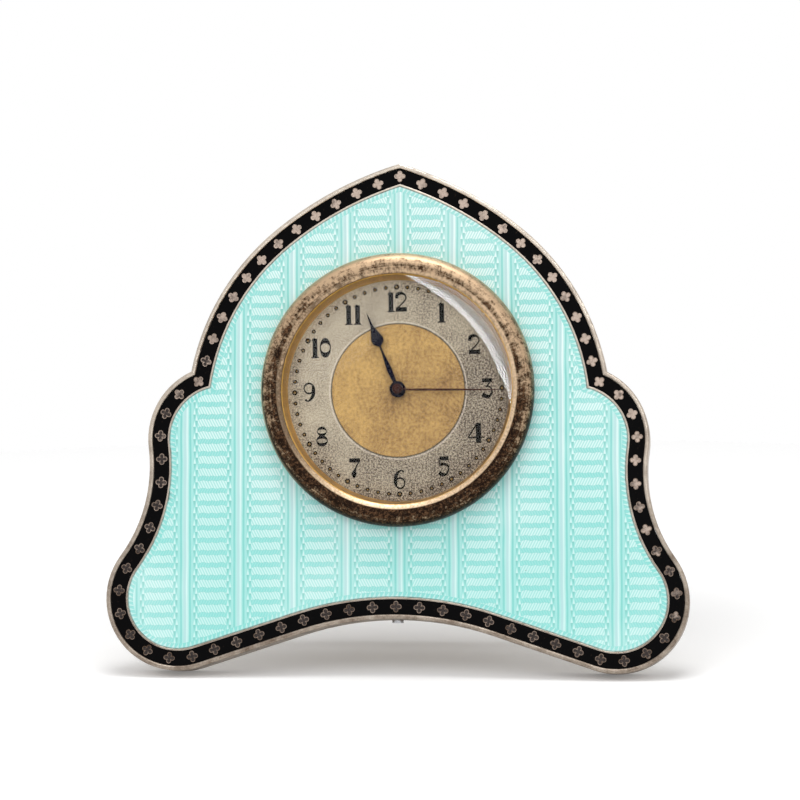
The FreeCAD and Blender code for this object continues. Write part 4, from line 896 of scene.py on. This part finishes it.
class DialFigures(PieceOperator):
    """Adds the painted numerals of the dial"""

    bl_idname = "clock.dial_figures"
    bl_label = "Dial figures"

    def work(self):
        size = sizes()
        shape = bmesh.new()
        for hour in range(1, 13):
            turn = math.radians(30 * hour)
            figures = str(hour)
            widths = [figure_width(figure) for figure in figures]
            whole = sum(widths) + FIGURE_SPACE * (len(figures) - 1)
            at = -whole / 2
            for figure, width in zip(figures, widths):
                across = size.numeral_ring * math.sin(turn) + (at + width / 2) * size.numeral_height
                up = size.numeral_ring * math.cos(turn)
                place = printed_face() @ Matrix.Translation((across, up, size.paint / 2))
                add_figure(shape, figure, place, size.numeral_height, size.paint)
                at += width + FIGURE_SPACE
        bmesh.ops.remove_doubles(shape, verts=shape.verts, dist=FINE_MERGE)
        bmesh.ops.recalc_face_normals(shape, faces=shape.faces)
        piece("dial_figures", shape, [ink("Figure ink")], "case")


class MinuteDots(PieceOperator):
    """Adds the sixty minute dots of the dial, the fives larger"""

    bl_idname = "clock.minute_dots"
    bl_label = "Minute dots"

    FIVE = 1.3
    SIDES = 20
    BORDER = 0.27

    def work(self):
        size = sizes()
        shape = bmesh.new()
        for minute in range(60):
            turn = math.radians(6 * minute)
            width = size.dot_size * (self.FIVE if minute % 5 == 0 else 1.0)
            across, up = size.dot_ring * math.sin(turn), size.dot_ring * math.cos(turn)
            made = bmesh.ops.create_cone(
                shape, cap_ends=True, segments=self.SIDES, radius1=width / 2, radius2=width / 2,
                depth=size.paint, matrix=printed_face() @ Matrix.Translation((across, up, size.paint / 2)),
            )
            faces = {face for vert in made["verts"] for face in vert.link_faces}
            caps = [face for face in faces if len(face.verts) == self.SIDES]
            top = max(caps, key=lambda face: face.normal.dot(-drive("set_hands")[1]))
            bmesh.ops.inset_region(shape, faces=[top], thickness=width * self.BORDER)
            top.material_index = 1
        pale = metal("Dot middle", colours().dot, colours().gilt_dark, roughness=0.4, blotch=2.0, wear=0.0)
        piece("minute_dots", shape, [ink("Dot ink"), pale], "case")


def ink(name):
    """Dark paint, a little worn."""
    tone = colours()
    material, shader, place = finish_of(name, roughness=0.5, specular_ior_level=0.03)
    worn = use("Tarnish", place, size=0.8, amount=0.25, softness=0.3)["Mask"]
    give(shader, base_color=blend(worn * 0.15, tone.ink, tone.dial_dark))
    emboss(shader, noise(place, 0.8), 0.002)
    return material


class CaseSilver(PieceOperator):
    """Finishes the silver rim, plates, ledges, hinge and strut"""

    bl_idname = "clock.case_silver"
    bl_label = "Case silver"

    def work(self):
        tone = colours()
        # low adds a painted shade to the lower rim.
        rim = metal(
            "Worn silver", tone.silver, tone.silver_dark, blotch=3.0, tarnish=0.3, speck=0.2, stain=0.42,
            low=0.5,
        )
        back = metal(
            "Back silver", tone.back, tone.silver_dark, roughness=0.34, blotch=7.0, tarnish=0.25, speck=0.22,
            grain=0.008, stain=0.35,
        )
        paint(rim, "case_rim", "front_plate")
        paint(
            back, "back_plate", "back_ledges", "screw_block", "hinge_leaf", "hinge_rivets", "hinge_pin", "strut"
        )


class BorderEnamel(PieceOperator):
    """Finishes the black enamel of the border"""

    bl_idname = "clock.border_enamel"
    bl_label = "Border enamel"

    def work(self):
        material, shader, place = finish_of("Black enamel", roughness=0.24, specular_ior_level=0.04)
        tone = colours()
        dust = fade(noise(place, 0.35, 2.0), 0.68, 0.76)
        cloud = spread(noise(place, 6.0), 0.0, 0.008)
        mask = clamped(dust * 0.2 + cloud)
        give(shader, base_color=blend(mask, tone.black, tone.silver_dark))
        emboss(shader, noise(place, 1.2), 0.02)
        paint(material, "border_enamel")


class BezelPatina(PieceOperator):
    """Finishes the tarnished bezel, whose lip and rim carry a painted highlight with some rubbed wear, and the
    gilt ring inside it
    """

    bl_idname = "clock.bezel_patina"
    bl_label = "Bezel patina"

    # Where each part of the bezel and the ring begins and ends, from the dial's middle, in millimetres
    LIP = (20.75, 20.55)
    INNER_SLOPE = (22.9, 21.2)
    LOW_RIM = (22.7, 23.3)
    RIM = (23.15, 23.35)
    RING_EDGE = (19.3, 19.15)

    def work(self):
        paint(self.bezel(), "bezel")
        paint(self.flange(), "dial_flange")

    def bezel(self):
        material, shader, place = finish_of("Bezel patina", metallic=1.0)
        tone = colours()
        ring = use("Rings", place)
        reach = ring["Radius"]
        part = parts_of(place)
        fine = use("Speckle", place, size=0.42, contrast=1.5)["Value"]
        streaks = noise(ring["Along"], 3.0, 5.0, 0.65)
        blots = noise(place, 1.7, 5.0, 0.65)
        patches = streaks * 0.4 + blots * 0.6
        up = part["Z"] / reach
        right = part["X"] / reach
        # The bezel grows darker towards the bottom and along its lower outer edge.
        darkening = spread(fade(up, 0.95, -0.8), 0.22, 1.1) - right * 0.05
        below = spread(fade(up, 0.3, -0.4), 0.2, 0.6)
        low_rim = fade(reach, *self.LOW_RIM) * below
        inner = spread(fade(reach, *self.INNER_SLOPE), -0.26, 0.28) + low_rim
        ragged = patches * 3.4 + fine * 0.5 - 1.95
        grime = fade(darkening + inner + ragged, 0.18, 0.86)
        # Painted highlight with some rubbed wear: lighter on the lip towards the lower right and on the outer
        # rim towards the upper left.
        lip = fade(reach, *self.LIP)
        rim = fade(reach, *self.RIM)
        lip_highlight_side = spread(fade(right - up, -0.5, 0.7), 0.2, 1.0)
        lit = spread(fade(up - right, -0.2, 0.8), 0.0, 0.8)
        rubbed = calc("MAXIMUM", lip * lip_highlight_side, rim * lit)
        rubbed = rubbed * spread(fine, 1.0, 0.45)
        grime = clamped(grime * (1.0 - rubbed))
        rust = fade(fine * 0.3 + noise(place, 0.6, 4.0, 0.75), 0.62, 0.95)
        dark = blend(rust, tone.patina_dark, tone.rust)
        body = blend(grime, tone.patina, dark)
        give(shader, base_color=blend(rubbed * 0.8, body, tone.rubbed), roughness=spread(grime, 0.38, 0.44))
        emboss(shader, fine + patches, 0.01, soften=0.25)
        return material

    def flange(self):
        material, shader, place = finish_of("Gilt ring", metallic=1.0, roughness=0.3)
        tone = colours()
        ring = use("Rings", place)
        rays = fade(noise(ring["Outward"], 1.0, 3.0, 0.7), 0.3, 0.7)
        stain = use("Tarnish", place, size=3.0, amount=0.5, softness=0.5)["Mask"]
        mask = clamped(rays * 0.45 + stain * 0.5)
        edge = fade(ring["Radius"], *self.RING_EDGE)
        mask = mask * (1.0 - edge) * 0.55
        give(shader, base_color=blend(mask, tone.ring, tone.ring_dark))
        emboss(shader, rays, 0.01)
        return material


class Crystal(PieceOperator):
    """Finishes the domed crystal"""

    bl_idname = "clock.crystal"
    bl_label = "Crystal"

    def work(self):
        material, shader, place = finish_of(
            "Crystal glass", base_color=(1.0, 1.0, 1.0, 1.0), transmission_weight=1.0, ior=1.2
        )
        dust = fade(noise(place, 0.5, 3.0), 0.72, 0.8)
        give(shader, roughness=spread(dust, 0.0, 0.03))
        path = put(place.tree, "ShaderNodeLightPath")
        unseen = calc("MAXIMUM", path["Is Shadow Ray"], path["Is Diffuse Ray"])
        glass = Value(shader.outputs["BSDF"])
        clear = put(place.tree, "ShaderNodeBsdfTransparent")["BSDF"]
        mixed = put(place.tree, "ShaderNodeMixShader", {0: unseen, 1: glass, 2: clear})["Shader"]
        feed(material.node_tree.nodes["Material Output"].inputs["Surface"], mixed)
        paint(material, "crystal")


class DialAndHands(PieceOperator):
    """Finishes the grained dial with its gilt middle and a painted shadow of the bezel along its edge, and the
    blued hands, the minute hand with a painted warm reflection
    """

    bl_idname = "clock.dial_and_hands"
    bl_label = "Dial and hands"

    # In millimetres: from the dial's middle, and across the line round the gilt middle
    HUB = (5.0, 1.5)
    SOILED = (16.2, 19.3)
    LINE = (0.16, 0.06)
    PALE_LINE = 0.32
    SHARP = 0.03

    def work(self):
        tone = colours()
        paint(self.dial(), "dial")
        worn = {"blotch": 3.0, "tarnish": 0.3, "wear": 0.4, "speck": 0.1}
        blue = metal("Blued steel", tone.blued, tone.black, roughness=0.22, **worn)
        paint(blue, "hour_hand", "hour_wheel", "cannon_pinion")
        # The minute hand is blued steel with a painted warm reflection.
        brown = metal("Blued steel with painted warm reflection", tone.browned, tone.black, roughness=0.25, **worn)
        paint(brown, "minute_hand", "set_arbor")

    def dial(self):
        material, shader, place = finish_of("Dial silver", metallic=0.35)
        tone = colours()
        reach = use("Rings", place)["Radius"]
        part = parts_of(place)
        fine = use("Speckle", place, size=0.3, contrast=1.9)["Value"]
        # The grain is darker towards the right and the bottom.
        lean = part["X"] * 0.013 - part["Z"] * 0.008
        worn = fade(noise(place, 7.0, 4.0) + lean, 0.14, 0.74)
        grained = fine * spread(worn, 0.22, 0.85)
        silver = clamped(grained + worn * 0.3)
        # Painted shadow of the bezel along the dial's edge, with dirt.
        darkening = fade(reach, *self.SOILED) * spread(fine, 0.12, 0.4)
        silver = clamped(silver + darkening)
        body = blend(silver, tone.dial, tone.dial_dark)
        slope = fade(part["X"] - part["Z"] * 0.5, -9.0, 12.0)
        cloud = spread(noise(place, 5.0, 5.0, 0.7), -0.75, 0.95)
        spots = fade(noise(place, 0.8, 3.0), 0.66, 0.76)
        hub = fade(reach, *self.HUB) * 0.25
        grit = use("Speckle", place, size=0.55, contrast=1.6)["Value"]
        gold = clamped(slope * 0.3 + cloud + grit * 0.5 + spots * 0.35 + hub - 0.1)
        middle = blend(gold, tone.gilt, tone.gilt_dark)
        edge = mm(sizes().gilt_radius)
        body = blend(fade(reach, edge + self.SHARP, edge - self.SHARP), body, middle)
        gap = abs(reach - edge)
        body = blend(fade(gap, *self.LINE) * 0.75, body, tone.ink)
        pale = abs(reach - (edge + self.PALE_LINE))
        body = blend(fade(pale, *self.LINE) * 0.35, body, tone.silver)
        give(shader, base_color=body, roughness=spread(fine, 0.4, 0.6))
        emboss(shader, fine, 0.012)
        return material


class Movement(PieceOperator):
    """Finishes the movement's brass, steel and nickel"""

    bl_idname = "clock.movement"
    bl_label = "Movement"

    def work(self):
        tone = colours()
        brass = metal(
            "Movement brass", tone.brass, tone.gilt_dark, blotch=5.0, tarnish=0.25, wear=0.6, speck=0.2,
            stain=0.4,
        )
        steel = metal(
            "Polished steel", tone.steel, tone.silver_dark, roughness=0.16, blotch=4.0, tarnish=0.12, wear=0.4,
            speck=0.08,
        )
        nickel = metal(
            "Nickel", tone.nickel, tone.silver_dark, roughness=0.22, blotch=4.0, tarnish=0.2, wear=0.8,
            speck=0.12, stain=0.4,
        )
        paint(
            steel, "rim_screw", "clamp_screws", "bridge_screws", "click_screw", "pallet_fork", "escape_wheel",
            "hairspring", "regulator", "mainspring", "barrel_arbor", "ratchet_wheel", "click",
        )
        paint(nickel, "set_knob", "key_hub", "key_pin", "key_loop")
        paint(
            brass, "minute_wheel", "movement_ring", "case_clamps", "main_plate", "barrel_bridge",
            "train_bridge", "balance_cock", "pallet_bridge", "centre_wheel", "second_wheel", "third_wheel",
            "fourth_wheel", "balance_wheel", "barrel_drum", "barrel_lid", "movement_cover",
        )


def seen(tree):
    """1 where the camera, a mirror or a glass looks straight at a surface or at the room."""
    path = put(tree, "ShaderNodeLightPath")
    direct = calc("MAXIMUM", path["Is Camera Ray"], path["Is Glossy Ray"])
    return calc("MAXIMUM", direct, path["Is Transmission Ray"])


class Stage(PieceOperator):
    """Adds the floor, the background, the lamps, the window card and the camera"""

    bl_idname = "clock.stage"
    bl_label = "Stage"

    # Each lamp: its name, its place from the aim, its width, its share of the power, whether metal mirrors it
    LAMPS = (
        ("Main lamp", (-0.5, -0.8, 0.7), 0.9, 1.0, False),
        ("Fill lamp", (0.7, -0.75, 0.5), 0.8, 0.6, False),
        ("Top lamp", (0.05, -0.12, 1.0), 0.6, 1.05, True),
    )
    ROOM_LIGHT = 0.36
    FLOOR_RADIUS = 0.3
    FLOOR_LIGHT = 0.2
    FLOOR_MIDDLE = (0.0, 0.035, 0.0)
    FLOOR_SHADE = (0.02, 0.07)
    CARD_REACH = 0.4
    CARD_EDGE = 0.176
    CARD_DEPTH = 0.033
    CARD_START = math.radians(-5)
    CARD_SWEEP = math.radians(113)
    CARD_BULGE = 0.7
    CARD_COLOUR = (0.92, 0.96, 1.0, 1.0)
    CARD_DIM = 10.0
    CARD_LIGHTS = (("Window light", 22.0), ("Window edge light", 64.0))

    def work(self):
        self.floor()
        self.world()
        size = sizes()
        aim = Vector((size.aim_side, 0, size.aim_height))
        side, rise = size.camera_side, size.camera_rise
        back = Vector((math.sin(side) * math.cos(rise), -math.cos(side) * math.cos(rise), math.sin(rise)))
        self.camera(aim, back)
        for name, offset, width, share, mirrored in self.LAMPS:
            self.lamp(name, aim, Vector(offset), width, size.lamp_power * share, mirrored)
        self.window(back)

    def floor(self):
        shape = bmesh.new()
        bmesh.ops.create_circle(shape, cap_ends=True, segments=64, radius=self.FLOOR_RADIUS)
        material, shader, place = finish_of(
            "White floor", base_color=(0.92, 0.92, 0.92, 1.0), roughness=0.9, specular_ior_level=0.0,
            emission_color=(1.0, 1.0, 1.0, 1.0),
        )
        inputs = {0: put(place.tree, "ShaderNodeTexCoord")["Object"], 1: self.FLOOR_MIDDLE}
        reach = put(place.tree, "ShaderNodeVectorMath", inputs, operation="DISTANCE")["Value"]
        # The floor glows white for the camera, but not near the clock, where the missing glow is a painted
        # shadow.
        glow = spread(fade(reach, *self.FLOOR_SHADE), 0.0, self.FLOOR_LIGHT)
        give(shader, emission_strength=seen(place.tree) * glow)
        ground = solid("floor", shape, [material])
        ground.location.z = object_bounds()[0][2]
        ground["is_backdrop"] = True

    def world(self):
        scene = bpy.context.scene
        scene.world = bpy.data.worlds.new("White room")
        scene.world.use_nodes = True
        tree = scene.world.node_tree
        room = spread(seen(tree), self.ROOM_LIGHT, 1.0)
        give(tree.nodes["Background"], color=(1.0, 1.0, 1.0, 1.0), strength=room)
        scene.view_settings.view_transform = "Standard"

    def lamp(self, name, aim, offset, width, power, mirrored):
        light = bpy.data.lights.new(name, "AREA")
        light.shape = "DISK"
        light.size = width
        light.energy = power
        lamp = stand(name, light)
        lamp.location = aim + offset
        lamp.rotation_euler = offset.to_track_quat("Z", "Y").to_euler()
        lamp.visible_glossy = mirrored

    def window(self, back):
        """A card that only smooth things mirror: a crescent along the crystal's edge, faint on metal."""
        face = dial_face()
        outward = face.to_3x3() @ Vector((0, 0, 1))
        mirrored = (2 * outward.dot(back) * outward - back).normalized()
        shape = bmesh.new()
        bmesh.ops.create_grid(shape, x_segments=40, y_segments=4, size=0.5)
        for cell in shape.faces:
            cell.material_index = int(cell.calc_center_median().y > 0.25)
        for vert in shape.verts:
            along, inwards = vert.co.x + 0.5, vert.co.y + 0.5
            turn = along * self.CARD_SWEEP + self.CARD_START
            bulge = math.sin(math.pi * along) ** self.CARD_BULGE
            radius = self.CARD_EDGE - inwards * bulge * self.CARD_DEPTH
            vert.co = Vector((radius * math.sin(turn), radius * math.cos(turn), 0))
        side = Vector((1, 0, 0))
        turned = Matrix((side, mirrored.cross(side).normalized(), mirrored)).transposed().to_4x4()
        shape.transform(Matrix.Translation(face.translation + mirrored * self.CARD_REACH) @ turned)
        lights = []
        for name, strength in self.CARD_LIGHTS:
            material, shader, place = finish_of(
                name, base_color=(0.0, 0.0, 0.0, 1.0), roughness=1.0, emission_color=self.CARD_COLOUR
            )
            sharp = put(place.tree, "ShaderNodeLightPath")["Is Singular Ray"]
            give(shader, emission_strength=spread(sharp, self.CARD_DIM, strength))
            lights.append(material)
        card = solid("window_card", shape, lights)
        for ray in ("camera", "diffuse", "transmission", "shadow", "volume_scatter"):
            setattr(card, "visible_" + ray, False)
        card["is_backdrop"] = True

    def camera(self, aim, back):
        lens = bpy.data.cameras.new("Camera")
        lens.lens = sizes().lens
        lens.sensor_width = 36
        camera = stand("Camera", lens)
        camera.location = aim + back * sizes().camera_reach
        roll = Quaternion((0, 0, 1), sizes().camera_roll)
        camera.rotation_euler = (back.to_track_quat("Z", "Y") @ roll).to_euler()
        bpy.context.scene.camera = camera


class ClockPanel(bpy.types.Panel):
    """Lists the clock's operators in the sidebar"""

    bl_idname = "VIEW3D_PT_clock"
    bl_label = "Clock"
    bl_space_type = "VIEW_3D"
    bl_region_type = "UI"
    bl_category = "Clock"

    def draw(self, context):
        for operator in OPERATORS:
            self.layout.operator(operator.bl_idname)


OPERATORS = (
    EnamelPanel, BorderFlowers, DialFigures, MinuteDots, CaseSilver, BorderEnamel, BezelPatina, Crystal,
    DialAndHands, Movement, Stage,
)
CLASSES = (ClockSizes, ClockColours, *OPERATORS, ClockPanel)


def register():
    for kind in CLASSES:
        bpy.utils.register_class(kind)
    bpy.types.Scene.clock_sizes = bpy.props.PointerProperty(type=ClockSizes)
    bpy.types.Scene.clock_colours = bpy.props.PointerProperty(type=ClockColours)


def unregister():
    del bpy.types.Scene.clock_colours
    del bpy.types.Scene.clock_sizes
    for kind in reversed(CLASSES):
        bpy.utils.unregister_class(kind)


def main():
    register()
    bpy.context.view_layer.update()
    bpy.ops.clock.enamel_panel()
    bpy.ops.clock.border_flowers()
    bpy.ops.clock.dial_figures()
    bpy.ops.clock.minute_dots()
    bpy.ops.clock.case_silver()
    bpy.ops.clock.border_enamel()
    bpy.ops.clock.bezel_patina()
    bpy.ops.clock.crystal()
    bpy.ops.clock.dial_and_hands()
    bpy.ops.clock.movement()
    bpy.ops.clock.stage()


if __name__ == "__main__":
    main()
